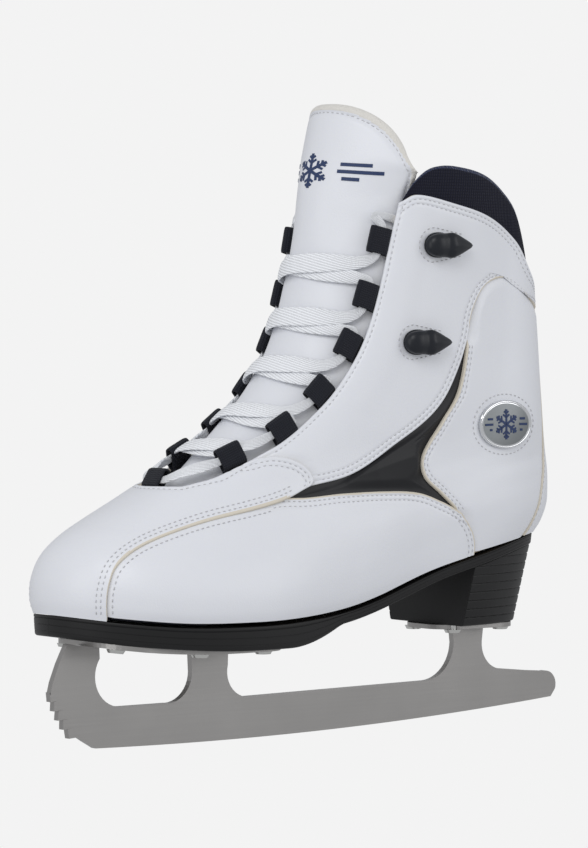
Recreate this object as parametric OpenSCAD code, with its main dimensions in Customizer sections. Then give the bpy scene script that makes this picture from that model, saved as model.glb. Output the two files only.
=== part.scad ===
// Left figure skate: a laced ankle-high boot on a heeled sole, with a steel
// runner screwed under it. Millimetres. +X points to the toe, +Y to the outer
// (lateral) side and +Z up. The origin is on the ice, in the runner's middle
// plane, halfway along the runner.
//
// The boot is one smooth surface, surf(a, l). Angle a goes round the boot in
// degrees: 0 at the back, 90 at the outer side, 180 at the front and 270 at the
// inner side. Level l is the height above the sole's upper edge, in millimetres.
// Each upper piece is a patch of that surface with its own outline and thickness.

/* [Runner] */
// Length of the runner from tail to toe picks
runner_len = 280; // [260:1:300]
// Thickness of the runner
runner_t = 3; // [2:0.1:4]
// Height of the runner's bar above the ice
bar_h = 18; // [15:0.5:22]
// Number of toe picks
pick_count = 5; // [3:1:6]
// Height from one toe pick to the next
pick_pitch = 3.95; // [3:0.05:4.2]

/* [Plates and screws] */
// Thickness of the sole and heel plates
plate_t = 2; // [1.5:0.1:3]
// Width of the sole plate
sole_plate_w = 62; // [50:1:70]
// Width of the heel plate
heel_plate_w = 38; // [30:1:42]
// Radius of a screw's shank
screw_r = 1.9; // [1.5:0.1:2.5]
// Radius of a screw's head
screw_head_r = 4; // [3:0.1:5]
// Depth of a screw in the sole
screw_grip = 7; // [5:0.5:9]

/* [Sole] */
// Height of the sole's underside at the ball of the foot
ball_z = 42; // [38:0.5:46]
// Height of the heel's underside
heel_z = 44.3; // [40:0.1:48]
// Thickness of the sole strip over the arch and heel
strip_t = 5; // [4:0.5:7]
// How far the sole's edge stands out from the upper
welt = 0.8; // [0:0.1:2]

/* [Upper] */
// Thickness of the upper's leather pieces
leather_t = 1.9; // [1.5:0.1:2.5]
// How far lapped pieces stand above the ones beside them
lap_t = 0.9; // [0.5:0.1:1.2]
// Gap between neighbouring pieces
seam_gap = 0.4; // [0.3:0.05:0.6]
// Thickness of the stiffeners and ankle boards
board_t = 0.9; // [0.8:0.1:1.4]
// Thickness of the lining
lining_t = 2; // [1.5:0.1:3]
// Thickness of the padded collar
collar_t = 4.5; // [3.5:0.1:6]
// Thickness of the tongue at its middle
tongue_t = 8; // [6:0.5:10]

/* [Lacing] */
// Width of the webbing loops along the throat's edge
loop_w = 11.5; // [9:0.5:13]
// How far the webbing loops stand out from the edge
loop_out = 11; // [9:0.5:13]
// Thickness of the webbing
web_t = 1.1; // [0.8:0.1:1.4]
// Width of the lace
lace_w = 8.5; // [6:0.5:10]
// Thickness of the lace
lace_t = 1.3; // [1:0.1:1.6]

/* [Hooks and badge] */
// Length of a lace hook
hook_len = 24; // [20:0.5:26]
// Width of a lace hook
hook_w = 11; // [9:0.5:12]
// Height of a lace hook above the leather
hook_h = 7; // [5:0.5:9]
// Length of the badge along the boot
badge_len = 30; // [24:0.5:34]
// Height of the badge
badge_h = 20.5; // [16:0.5:24]
// Thickness of the badge
badge_t = 1.6; // [1:0.1:2.5]

/* [Hidden] */

white = [0.88, 0.88, 0.91];
navy = [0.12, 0.13, 0.20];
ink = [0.09, 0.10, 0.12];
black = [0.10, 0.10, 0.11];
steel = [0.62, 0.62, 0.62];
zinc = [0.80, 0.80, 0.78];
board = [0.72, 0.64, 0.50];
silver = [0.66, 0.68, 0.69];

// --- smooth curves -----------------------------------------------------------
// A table has rows [place, value, ...]. smooth() is the cubic curve through its
// rows, whose slope at a row is the slope between the rows on its two sides.
function row_at(tab, x, i = 0) =
    (i >= len(tab) - 2 || x < tab[i + 1][0]) ? i : row_at(tab, x, i + 1);
function row_slope(tab, i) =
    let(a = max(i - 1, 0), b = min(i + 1, len(tab) - 1))
    (tab[b] - tab[a]) / (tab[b][0] - tab[a][0]);
function smooth(tab, x) =
    let(c = min(max(x, tab[0][0]), tab[len(tab) - 1][0]),
        i = row_at(tab, c),
        h = tab[i + 1][0] - tab[i][0],
        u = (c - tab[i][0]) / h)
    (2 * u * u * u - 3 * u * u + 1) * tab[i]
    + (u * u * u - 2 * u * u + u) * h * row_slope(tab, i)
    + (3 * u * u - 2 * u * u * u) * tab[i + 1]
    + (u * u * u - u * u) * h * row_slope(tab, i + 1);
// Points of an outline with the length run so far in front, as a table
function run_so_far(pts, i) = i == 0 ? 0 : run_so_far(pts, i - 1) + norm(pts[i] - pts[i - 1]);
function by_length(pts) =
    let(all = run_so_far(pts, len(pts) - 1))
    [for (i = [0:len(pts) - 1]) concat([run_so_far(pts, i) / all], pts[i])];
function at_share(tab, u) = let(r = smooth(tab, u)) [r[1], r[2]];
function unit(v) = v / norm(v);
function fade(l, over) = let(u = min(max(l / over, 0), 1)) 1 - u * u * (3 - 2 * u);

// --- the boot's surface ------------------------------------------------------
// Height of the sole's upper edge along the boot: [x, z]
feather = [
    [-125, 84], [-100, 83], [-66, 76], [-45, 71], [-24, 64.5], [-8, 59.6], [8, 56],
    [24, 54], [45, 52.7], [65, 52.3], [94, 52.7], [120, 55.2], [140, 58.3]
];
feather_low = 53;
lift_over = 100;
// Sections by level: [level, back x, front x, radius at the back,
// half-widths at 12, 30, 50, 70 and 88% of the way forward, radius at the front]
sections = [
    [0, -117, 134.5, 26, 29.5, 33, 37, 45.5, 37, 36],
    [6, -121.5, 136, 27, 31, 34, 39, 47, 39, 38],
    [15, -124.5, 135.5, 28, 32.5, 35, 39.5, 46.5, 39, 38],
    [25, -125, 132, 28, 33, 36, 39, 43.5, 36, 34],
    [34, -125, 124.5, 28, 32.5, 36, 38, 39.5, 31.5, 28],
    [42, -124.6, 113.5, 28, 32, 35.5, 36.5, 36, 28, 24],
    [50, -124, 100, 28, 31, 35, 35.5, 33.5, 26, 22],
    [58, -123.2, 85.5, 28, 31, 34.5, 35, 32, 25, 22],
    [68, -122.2, 66, 28, 31, 34.5, 35, 32.5, 26, 23],
    [80, -121, 47, 28, 31, 34.5, 36, 34, 27.5, 25],
    [95, -119.8, 29, 28, 30, 34.5, 36.5, 35.5, 29.5, 27],
    [115, -118, 14, 27.5, 29, 34, 36.5, 36.5, 31, 28],
    [140, -115.5, 4, 27, 28.5, 34, 37, 37, 31.5, 29],
    [165, -114, -3, 27, 28.5, 34.5, 38, 38, 32, 30],
    [190, -113, -8, 27, 29, 35.5, 39, 39, 33, 31],
    [225, -112, -14, 27, 29, 36, 40, 40, 34, 32]
];
stations = [0.12, 0.30, 0.50, 0.70, 0.88];
// How far the toe turns in from the runner's line: [x, y]
turn_in = [[-130, 0], [20, 0], [60, -1.5], [100, -4.5], [140, -7]];

function way(i) = acos(1 - 2 * stations[i]);
function fullness(s) =
    let(run = s[2] - s[1], n = len(stations),
        mid = [for (i = [0:n - 1]) [way(i), s[4 + i] / sin(way(i))]])
    concat([[-way(0), mid[0][1]], [0, sqrt(s[3] * run / 2)]], mid,
        [[180, sqrt(s[4 + n] * run / 2)], [360 - way(n - 1), mid[n - 1][1]]]);
function skin(a, l) =
    let(s = smooth(sections, l),
        x = s[1] + (s[2] - s[1]) * (1 - cos(a)) / 2,
        full = smooth(fullness(s), acos(cos(a)))[1])
    [x,
     full * sin(a) + smooth(turn_in, x)[1] * fade(l, lift_over / 0.8),
     feather_low + l + (smooth(feather, x)[1] - feather_low) * fade(l, lift_over)];
function outward(a, l) =
    unit(cross(skin(a, l + 0.5) - skin(a, l - 0.5), skin(a + 0.5, l) - skin(a - 0.5, l)));
function surf(a, l, off = 0) = skin(a, l) + off * outward(a, l);

// The angle and level of a side-view point [x, z] on the outer side
function level_of(x, z, l, n = 14) =
    n == 0 ? l : level_of(x, z,
        z - feather_low - (smooth(feather, x)[1] - feather_low) * fade(l, lift_over), n - 1);
function place(p) =
    let(l = max(level_of(p[0], p[1], 40), low_l), s = smooth(sections, l))
    [acos(max(min(1 - 2 * (p[0] - s[1]) / (s[2] - s[1]), 1), -1)), l];
function places(pts) = by_length([for (p = pts) place(p)]);

// Lowest level of the upper's pieces, just above the sole
low_l = 0.3;

// A patch between four edges in angle and level: c0 and c1 run along it, d0 and
// d1 across its ends (a Coons patch).
function coons(c0, c1, d0, d1, u, v) =
    (1 - v) * at_share(c0, u) + v * at_share(c1, u)
    + (1 - u) * at_share(d0, v) + u * at_share(d1, v)
    - (1 - u) * (1 - v) * at_share(c0, 0) - u * (1 - v) * at_share(c0, 1)
    - (1 - u) * v * at_share(c1, 0) - u * v * at_share(c1, 1);
function patch(c0, c1, d0, d1, nu, nv) =
    [for (i = [0:nu]) [for (j = [0:nv]) coons(c0, c1, d0, d1, i / nu, j / nv)]];
function other_side(grid) = [for (r = grid) [for (q = r) [360 - q[0], q[1]]]];
function raise(grid, off) = [for (r = grid) [for (q = r) surf(q[0], q[1], off)]];

// A closed solid between two grids of points; flip turns its faces round.
module wall(outer, inner, flip = false) {
    nu = len(outer) - 1;
    nv = len(outer[0]) - 1;
    k = nv + 1;
    m = (nu + 1) * k;
    pts = concat([for (r = outer) for (p = r) p], [for (r = inner) for (p = r) p]);
    quads = concat(
        [for (i = [0:nu - 1]) for (j = [0:nv - 1])
            let(a = i * k + j) [a, a + 1, a + k + 1, a + k]],
        [for (i = [0:nu - 1]) for (j = [0:nv - 1])
            let(a = m + i * k + j) [a, a + k, a + k + 1, a + 1]],
        [for (i = [0:nu - 1]) let(a = i * k) [a, a + k, a + k + m, a + m]],
        [for (i = [0:nu - 1]) let(a = i * k + nv) [a, a + m, a + k + m, a + k]],
        [for (j = [0:nv - 1]) [j, j + m, j + 1 + m, j + 1]],
        [for (j = [0:nv - 1]) let(a = nu * k + j) [a, a + 1, a + 1 + m, a + m]]);
    tris = [for (q = quads) each [[q[0], q[1], q[2]], [q[0], q[2], q[3]]]];
    polyhedron(pts, flip ? [for (t = tris) [t[2], t[1], t[0]]] : tris);
}
module piece(grid, top, bottom, flip = false) {
    wall(raise(grid, top), raise(grid, bottom), flip);
}

// --- outlines, as side-view points [x, z] on the outer side --------------------
throat_edge = [[-20, 230], [-16, 213], [-8.6, 185.5], [1.8, 162], [17.9, 142.4], [38.8, 126.6], [49.5, 121.8]];
quarter_top = [[-20, 230], [-27, 233.5], [-47, 230], [-70, 224], [-87, 214], [-98.5, 200], [-108.8, 191]];
ear_end = [[49.5, 121.8], [41.3, 123.2], [32.8, 121.4], [26.5, 117.2], [24.2, 112], [25.5, 109]];
quarter_foot = [
    [-108.8, 191], [-109.2, 184.5], [-100, 183], [-90, 192], [-79, 197.5], [-67, 194.5], [-59, 184],
    [-56, 170], [-51, 158], [-37, 139], [-17, 126], [5, 114], [25.5, 109]
];
counter_top = [[-109.4, 182.5], [-99.5, 180.5], [-89, 190], [-79, 195.5], [-68, 192.5], [-60.5, 182]];
counter_front = [
    [-60.5, 182], [-57.5, 170], [-51.5, 148], [-43, 136], [-33, 122], [-33, 112], [-42, 104],
    [-54, 95.5], [-61, 87], [-64, 77]
];
insert_top = [
    [-55.3, 166], [-51.2, 156], [-45.2, 146], [-37.8, 137.6], [-17.5, 125], [4.7, 113], [24, 108.2], [38, 104.9]
];
insert_back = [
    [-55.3, 166], [-50.5, 149], [-42, 136.5], [-31.8, 123], [-31, 117], [-31.8, 111.3], [-41, 103.5], [-51, 97.4]
];
insert_foot = [[-51, 97.4], [-43, 101.6], [-30, 106.1], [-12, 107.3], [10, 107], [28, 105], [37.5, 103.6]];
panel_back = [[-62.5, 77], [-60, 87], [-53, 95.5]];
panel_top = [[-53, 95.5], [-43, 100.3], [-30, 104.8], [-12, 106], [10, 105.8], [42, 101.9], [82, 93.6], [106, 86]];
panel_front = [[122.5, 58], [122.8, 68], [118.5, 78], [106, 86]];
vamp_line = [[26.8, 109.3], [44, 103.5], [82, 95.2], [107, 87.4], [119.8, 79], [124.3, 69], [124, 58]];
vamp_throat = [[50.8, 120.4], [60.6, 116.2], [69, 112.9], [81, 109.6]];
vamp_ear = [[50.8, 120.4], [42, 121.6], [33.6, 119.9], [27.8, 116.1], [25.6, 111.8], [26.8, 109.3]];
throat_front_l = 56.5;
collar_line = [[-21, 231.5], [-27, 239], [-38, 245.5], [-52, 246], [-72, 241.5], [-88, 230], [-100, 211], [-108, 202]];

// Half-angle of the backstay strip, by level
function stay_a(l) = 27 + 6 * fade(l, 60) - 2 * min(max(l - 100, 0), 60) / 60;
function stay_edge(l0, l1, gap) = by_length([for (i = [0:8])
    let(l = l0 + (l1 - l0) * i / 8) [stay_a(l) + gap, l]]);
function between(p, q) = by_length([p, q]);
// Edges that follow the sole, between two angles
function sole_edge(a0, a1) = between([a0, low_l], [a1, low_l]);

// --- sub-parts: the upper ------------------------------------------------------
function quarter_grid() = patch(places(throat_edge), places(quarter_foot),
    places(quarter_top), places(ear_end), 26, 10);
function counter_grid() =
    let(front = places(counter_front), top = places(counter_top),
        corner = at_share(top, 0), foot = at_share(front, 1))
    patch(stay_edge(corner[1], low_l, corner[0] - stay_a(corner[1])), front,
        top, between([stay_a(0) + corner[0] - stay_a(corner[1]), low_l], foot), 20, 8);
function insert_grid() = patch(places(insert_top), places(insert_foot),
    places(insert_back), between(place(insert_top[7]), place(insert_foot[6])), 22, 6);
function panel_grid() =
    let(back = places(panel_back), front = places(panel_front))
    patch(sole_edge(at_share(back, 0)[0], at_share(front, 0)[0]), places(panel_top),
        back, front, 26, 6);
// The vamp is a band from the outer ear round the toe to the inner ear.
function vamp_half() =
    let(throat = places(vamp_throat), line = places(vamp_line),
        last = at_share(line, 1))
    [for (i = [0:22])
        let(u = i / 22,
            p = u < 0.7 ? at_share(throat, u / 0.7)
                : [for (k = [0, 1]) let(q = at_share(throat, 1), w = (u - 0.7) / 0.3)
                    q[k] + ([180, throat_front_l][k] - q[k]) * w],
            q = u < 0.68 ? at_share(line, u / 0.68)
                : [last[0] + (180 - last[0]) * (u - 0.68) / 0.32, low_l],
            ear = places(vamp_ear))
        [for (j = [0:9])
            let(v = j / 9, e = at_share(ear, v), k = pow(1 - u, 6),
                straight0 = (1 - v) * at_share(ear, 0) + v * at_share(ear, 1))
            (1 - v) * p + v * q + k * (e - straight0)]];
function vamp_grid() =
    let(h = vamp_half(), n = len(h))
    concat(h, [for (i = [1:n - 1]) [for (q = h[n - 1 - i]) [360 - q[0], q[1]]]]);

module vamp() color(white) piece(vamp_grid(), lap_t, -leather_t);
module side_panel(grid, flip) color(white) piece(grid, 0, -leather_t, flip);
module side_panel_lateral() side_panel(panel_grid(), true);
module side_panel_medial() side_panel(other_side(panel_grid()), false);
module quarter(grid, flip) color(white) piece(grid, lap_t, -leather_t, flip);
module quarter_lateral() quarter(quarter_grid(), false);
module quarter_medial() quarter(other_side(quarter_grid()), true);
module counter(grid, flip) color(white) piece(grid, lap_t, -leather_t, flip);
module counter_lateral() counter(counter_grid(), true);
module counter_medial() counter(other_side(counter_grid()), false);
module insert(grid, flip) color(ink) piece(grid, -0.2, -leather_t, flip);
module insert_lateral() insert(insert_grid(), false);
module insert_medial() insert(other_side(insert_grid()), true);
module backstay() color(white) {
    top_l = place(quarter_top[6])[1] + 8;
    foot_l = low_l + 0.7;
    grid = [for (i = [0:18]) let(l = foot_l + (top_l - foot_l) * i / 18, a = stay_a(l))
        [for (j = [0:10]) [-a + 2 * a * j / 10, l]]];
    piece(grid, lap_t + 0.6, -leather_t);
}

// --- sub-parts: stiffeners, lining and collar ----------------------------------
board_top = -leather_t - seam_gap;
board_low = board_top - board_t;
lining_top = board_low - seam_gap;
lining_low = lining_top - lining_t;

function band(a0, a1, l0, l1, nu, nv) =
    [for (i = [0:nu]) [for (j = [0:nv]) [a0 + (a1 - a0) * i / nu, l0 + (l1 - l0) * j / nv]]];
module toe_puff() color(board)
    piece(band(128, 232, low_l, 44, 20, 7), board_top, board_low, true);
module heel_stiffener() color(board)
    piece(band(-62, 62, low_l, 58, 18, 7), board_top, board_low, true);
function ankle_grid() =
    let(l0 = 64, edge = by_length([place([-27, 196]), place([-14, 168]), place([8, 142]), [122, l0]]))
    patch(by_length([[10, 114], [10, l0]]), edge,
        by_length([[10, 114], place([-72, 180]), place([-27, 196])]), between([10, l0], [122, l0]), 12, 10);
module ankle_board_lateral() color(board) piece(ankle_grid(), board_top, board_low, true);
module ankle_board_medial() color(board) piece(other_side(ankle_grid()), board_top, board_low, false);

// The lining's front edge follows the toe's ridge and then the throat.
lining_throat = [
    [81, 109], [63, 113.5], [42, 118.5], [25.5, 126.5], [6.5, 141.5], [-10.5, 162], [-21, 187], [-28, 203]
];
lining_crest = [[-28, 203], [-40, 202], [-70, 193], [-90, 180], [-104, 170]];
seam_a = 0.4;
function lining_grid() =
    let(throat = [for (p = lining_throat) place(p)], crest = places(lining_crest),
        back = at_share(crest, 1),
        front = by_length(concat([[180 - seam_a, low_l], [180 - seam_a, 25], [180 - seam_a, 48],
            [176, 56]], throat)))
    patch(front, by_length([[seam_a, low_l], [seam_a, back[1]]]),
        sole_edge(180 - seam_a, seam_a), by_length([at_share(crest, 0), at_share(crest, 0.5),
            at_share(crest, 1), [seam_a, back[1] - 2]]), 17, 15);
module lining_lateral() color(navy) piece(lining_grid(), lining_top, lining_low, true);
module lining_medial() color(navy) piece(other_side(lining_grid()), lining_top, lining_low);
// The collar is shallow and thin at its two ends, beside the tongue.
collar_drop = [6, 26];
collar_end_t = 0.42;
collar_n = 16;
function swell(u, from) = from + (1 - from) * (1 - fade(u, 0.4));
function collar_side() = let(rim = places(collar_line))
    [for (i = [0:collar_n]) let(u = i / collar_n, q = at_share(rim, u))
        [q[0], q[1], swell(u, collar_drop[0] / collar_drop[1]) * collar_drop[1], swell(u, collar_end_t)]];
function collar_rows() =
    let(half = collar_side(), e = half[collar_n],
        edge = concat(half, [for (i = [1:5]) [e[0] * (1 - i / 5), e[1] - 1.5 * i / 5, e[2], e[3]]]),
        m = len(edge))
    concat(edge, [for (i = [1:m - 1]) let(q = edge[m - 1 - i]) [-q[0], q[1], q[2], q[3]]]);
collar_top = -leather_t - seam_gap;
function collar_face(depth) = [for (q = collar_rows()) [for (j = [0:4])
    surf(q[0], q[1] - q[2] * (1 - j / 4), collar_top - depth * collar_t * q[3])]];
module collar_pad() color(navy) wall(collar_face(0), collar_face(1));

// --- sub-parts: the tongue -----------------------------------------------------
// Tongue by level: [level, half-angle, height over the surface at its middle, thickness]
tongue_rows = [
    [46, 14, -6.6, 3], [56, 19, -6.6, 3.5], [62, 31, -5, 4], [68, 44, -2.4, 4.5], [75, 54, 0.5, 5.5],
    [90, 56, 3.5, 6.5], [112, 57, 5.5, 8], [136, 58, 6.5, 8], [160, 58, 7.3, 8], [180, 56, 8.5, 8],
    [198, 54, 7.2, 8], [216, 49, 6.8, 8]
];
tongue_joint_l = 172;
tongue_top_l = 216;
// Depth of the tongue's two edges, inside the lining and the collar
tongue_edge_off = lining_low - 1;
tongue_collar_off = collar_top - collar_t - 0.7;
// Height of the tongue's outer face over the surface
function tongue_off(a, l) =
    let(r = smooth(tongue_rows, l), w = min(abs(a - 180) / r[1], 1), k = (1 + cos(180 * w)) / 2,
        edge = tongue_edge_off + (tongue_collar_off - tongue_edge_off) * (1 - fade(l - 160, 12)),
        free = 1 - fade(l - 178, 20))
    edge * (1 - 0.65 * free) * (1 - k) + r[2] * k;
function tongue_point(l, v, depth) =
    let(r = smooth(tongue_rows, l), a = 180 + v * r[1],
        k = (1 + cos(180 * v)) / 2,
        round_top = l > 190 ? pow(abs(v), 3) * (l - 190) : 0,
        t = (r[3] / 8) * tongue_t * (0.45 + 0.55 * k))
    surf(a, l - round_top, tongue_off(a, l) - depth * t);
function tongue_face(l0, l1, n, depth) =
    [for (i = [0:n]) [for (j = [0:12]) tongue_point(l0 + (l1 - l0) * i / n, -1 + j / 6, depth)]];
module tongue_part(l0, l1, n) wall(tongue_face(l0, l1, n, 0), tongue_face(l0, l1, n, 1));
module tongue_lower() color(white) tongue_part(tongue_rows[0][0], tongue_joint_l, 22);
module tongue_upper() color(white) tongue_part(tongue_joint_l + 0.5, tongue_top_l, 9);

// --- sub-parts: loops and lace ---------------------------------------------------
loop_places = [[-16.3, 212.6], [-9.6, 188.6], [-0.6, 166.8], [14.4, 146], [33.6, 129.8], [57.5, 118.2]];
loop_share = [for (p = loop_places) place(p)];
loop_last = len(loop_places) - 1;
loop_lift = -leather_t - seam_gap - 0.6;
// Step up the throat's edge at a loop, in angle and level for each millimetre
function climb(i) =
    let(a = loop_share[max(i - 1, 0)], b = loop_share[min(i + 1, loop_last)])
    (a - b) / norm(skin(a[0], a[1]) - skin(b[0], b[1]));
// Angle and level near a loop: up the edge by t, and in from the edge by an angle
function by_loop(i, side, t, in) =
    let(q = loop_share[i] + t * climb(i) + [in, 0])
    [side > 0 ? q[0] : 360 - q[0], q[1]];
// Frame at a loop: [point, along the edge, towards the throat's middle, outward]
function loop_frame(i, side) =
    let(q = by_loop(i, side, 0, 0), a = by_loop(i, side, 2, 0), b = by_loop(i, side, -2, 0),
        n = outward(q[0], q[1]), along = skin(b[0], b[1]) - skin(a[0], a[1]),
        e = side * unit(along - (along * n) * n))
    [surf(q[0], q[1], loop_lift), e, cross(e, n), n];
// The vamp curves away from the centre loop, so that loop lies deeper.
centre_sink = 0.8;
centre_frame = let(l = throat_front_l + 0.5, n = outward(180, l), e = [0, -1, 0])
    [surf(180, l, loop_lift - centre_sink), e, cross(e, n), n];
module at_frame(f) {
    multmatrix([
        [f[1][0], f[2][0], f[3][0], f[0][0]],
        [f[1][1], f[2][1], f[3][1], f[0][1]],
        [f[1][2], f[2][2], f[3][2], f[0][2]],
        [0, 0, 0, 1]]) children();
}
loop_tilt = 30;
loop_shift = 0.7;
loop_tail = 4;
loop_neck = 1.6;
slot_h = lace_t + 0.7;
loop_h = slot_h + 2 * web_t;
loop_tip = loop_out - loop_h / 2;
// The loop's own axes: X along the throat's edge, Y out of it, Z away from the boot
module web_loop() color(navy)
    translate([-loop_w / 2, loop_shift, 0]) rotate([90, 0, 90]) linear_extrude(loop_w) {
        translate([-loop_tail, -web_t / 2]) square([loop_tail + 0.6, web_t]);
        rotate([0, 0, loop_tilt]) difference() {
            union() {
                translate([0, -web_t / 2]) square([loop_neck + 1, web_t]);
                translate([loop_neck, -web_t / 2]) square([loop_tip - loop_neck, loop_h]);
                translate([loop_tip, loop_h / 2 - web_t / 2]) circle(d = loop_h, $fn = 32);
            }
            translate([loop_neck + web_t, web_t / 2]) square([loop_tip - loop_neck - web_t, slot_h]);
            translate([loop_tip, web_t / 2 + slot_h / 2]) circle(d = slot_h, $fn = 32);
        }
    }
module lace_loops_lateral() for (i = [0:loop_last]) at_frame(loop_frame(i, 1)) web_loop();
module lace_loops_medial() for (i = [0:loop_last]) at_frame(loop_frame(i, -1)) web_loop();
module lace_loop_centre() at_frame(centre_frame) web_loop();

// The lace is one flat ribbon along a path. A row of the path is its place, the
// direction it faces and its share of the full width.
lace_narrow = 0.42;
slot_at = [(loop_neck + web_t + loop_tip) / 2, web_t / 2 + slot_h / 2];
function in_slot(f, t) =
    let(y = cos(loop_tilt) * f[2] + sin(loop_tilt) * f[3],
        z = cos(loop_tilt) * f[3] - sin(loop_tilt) * f[2])
    concat(f[0] + loop_shift * f[2] + slot_at[0] * y + slot_at[1] * z + t * f[1], z, [lace_narrow]);
function lace_row(q, off, share) = concat(surf(q[0], q[1], off), outward(q[0], q[1]), [share]);
lace_rest = 0.8 + lace_t / 2;
lace_clear = 2.4;
cross_lift = lace_t + 0.6;
slot_t = loop_w / 2 + 0.5;
exit_t = loop_w / 2 + 3.2;
exit_in = 11;
function over_tongue(q, lift, share) =
    lace_row(q, max(tongue_off(q[0], q[1]) + lace_rest, lace_clear) + lift, share);
// From the top of a loop to the foot of the next one up, on the other side
function strand(i, side) =
    let(p = by_loop(i, side, exit_t, exit_in), q = by_loop(i - 1, -side, -exit_t, exit_in),
        lift = side < 0 ? cross_lift : 0)
    [over_tongue(p, 0, 0.65), over_tongue(p + 0.25 * (q - p), lift * 0.7, 1),
        over_tongue((p + q) / 2, lift, 1), over_tongue(p + 0.75 * (q - p), lift * 0.7, 1),
        over_tongue(q, 0, 0.65)];
// From the centre loop up to a tail: the lace changes sides at every strand
function half_lace(side) = concat([over_tongue([180 - side * 14, 61], 0, 0.8)],
    [for (k = [0:loop_last]) let(i = loop_last - k, s = side * (k % 2 == 0 ? 1 : -1), up = -s * slot_t)
        each concat([for (t = [-up, 0, up]) in_slot(loop_frame(i, s), t)], i > 0 ? strand(i, s) : tail(s))]);
// The tails go behind the quarters' edges and hang inside the lining
tail_rows = [
    [9, 171, 2, 0.42], [4.5, 171.3, -0.3, 0.42], [0, 170, -2.8, 0.42], [-5, 168.5, -3.7, 0.42],
    [-12, 165, -4, 0.5], [-19, 160, -5, 0.5], [-25, 152, -7.4, 0.5], [-29, 140, -9, 0.45],
    [-30, 122, -9.4, 0.4], [-30, 104, -9.4, 0.3]
];
function tail(side) =
    [for (r = tail_rows) let(a = loop_share[0][0] + r[0])
        lace_row([side > 0 ? a : 360 - a, r[1]], r[2], r[3])];
function backwards(list) = [for (i = [len(list) - 1:-1:0]) list[i]];
lace_path = concat(backwards(half_lace(1)), [for (t = [-slot_t, 0, slot_t]) in_slot(centre_frame, t)],
    half_lace(-1));
lace_steps = 170;
function pick(v, i) = [v[i], v[i + 1], v[i + 2]];
module lace() color([0.93, 0.94, 0.97]) {
    path = by_length(lace_path);
    rows = [for (k = [0:lace_steps])
        let(u = k / lace_steps, r = smooth(path, u), e = 0.15 / lace_steps,
            d = unit(pick(smooth(path, u + e), 1) - pick(smooth(path, u - e), 1)),
            n = pick(r, 4), up = unit(n - (n * d) * d), w = cross(up, d) * lace_w / 2 * r[7], p = pick(r, 1))
        [p - w, p + w, up * lace_t / 2]];
    wall([for (r = rows) [r[0] + r[2], r[1] + r[2]]], [for (r = rows) [r[0] - r[2], r[1] - r[2]]]);
}
aglet_r = 1.6;
aglet_len = 22;
module lace_aglets() color("white") for (side = [1, -1])
    let(p = tail(side)[len(tail_rows) - 1]) translate([p[0], p[1], p[2] - aglet_len])
        cylinder(r = aglet_r, h = aglet_len, $fn = 24);

// --- sub-parts: hooks and badge ----------------------------------------------------
hook_places = [[-42, 212], [-31.5, 170]];
hook_gap = 0.25;
function hook_frame(i, side) =
    let(q = place(hook_places[i]), a = side > 0 ? q[0] : 360 - q[0],
        n = outward(a, q[1]), back = unit([-1, 0, 0] + n[0] * n))
    [surf(a, q[1], lap_t + hook_gap), back, cross(n, back), n];
// The hook's own axes: X points to its tip, at the back, and Z away from the boot
module hook(i, side) color(ink) at_frame(hook_frame(i, side)) {
    r = hook_w / 2;
    hull() {
        translate([-hook_len / 2 + r, 0, 0]) cylinder(r = r, h = 1.2, $fn = 24);
        translate([hook_len / 2 - 2, 0, 0]) cylinder(r = 1.2, h = 1.2, $fn = 16);
    }
    hull() {
        translate([-hook_len / 2 + r, 0, 1]) cylinder(r = r * 0.8, h = 1, $fn = 20);
        translate([-hook_len / 2 + r, 0, hook_h - 2]) sphere(r = r * 0.45, $fn = 18);
        translate([-2, 0, hook_h - 2.2]) sphere(r = 2.1, $fn = 16);
        translate([-1, 0, 1]) cylinder(r = 2.6, h = 1, $fn = 20);
    }
    hull() {
        translate([-2, 0, hook_h - 2.2]) sphere(r = 2.1, $fn = 16);
        translate([hook_len / 2 - 1.4, 0, hook_h - 3.2]) sphere(r = 1.1, $fn = 14);
    }
}
module hook_lateral_upper() hook(0, 1);
module hook_lateral_lower() hook(1, 1);
module hook_medial_upper() hook(0, -1);
module hook_medial_lower() hook(1, -1);
rivet_r = 1.8;
module hook_rivets() color(zinc) for (i = [0, 1]) for (side = [-1, 1])
    at_frame(hook_frame(i, side)) translate([-hook_len / 2 + hook_w / 2, 0, 0]) {
        reach = hook_gap + lap_t + leather_t;
        translate([0, 0, -reach - 0.2]) cylinder(r = rivet_r, h = reach + 0.2, $fn = 32);
    }

badge_place = [-79, 133.5];
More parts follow.
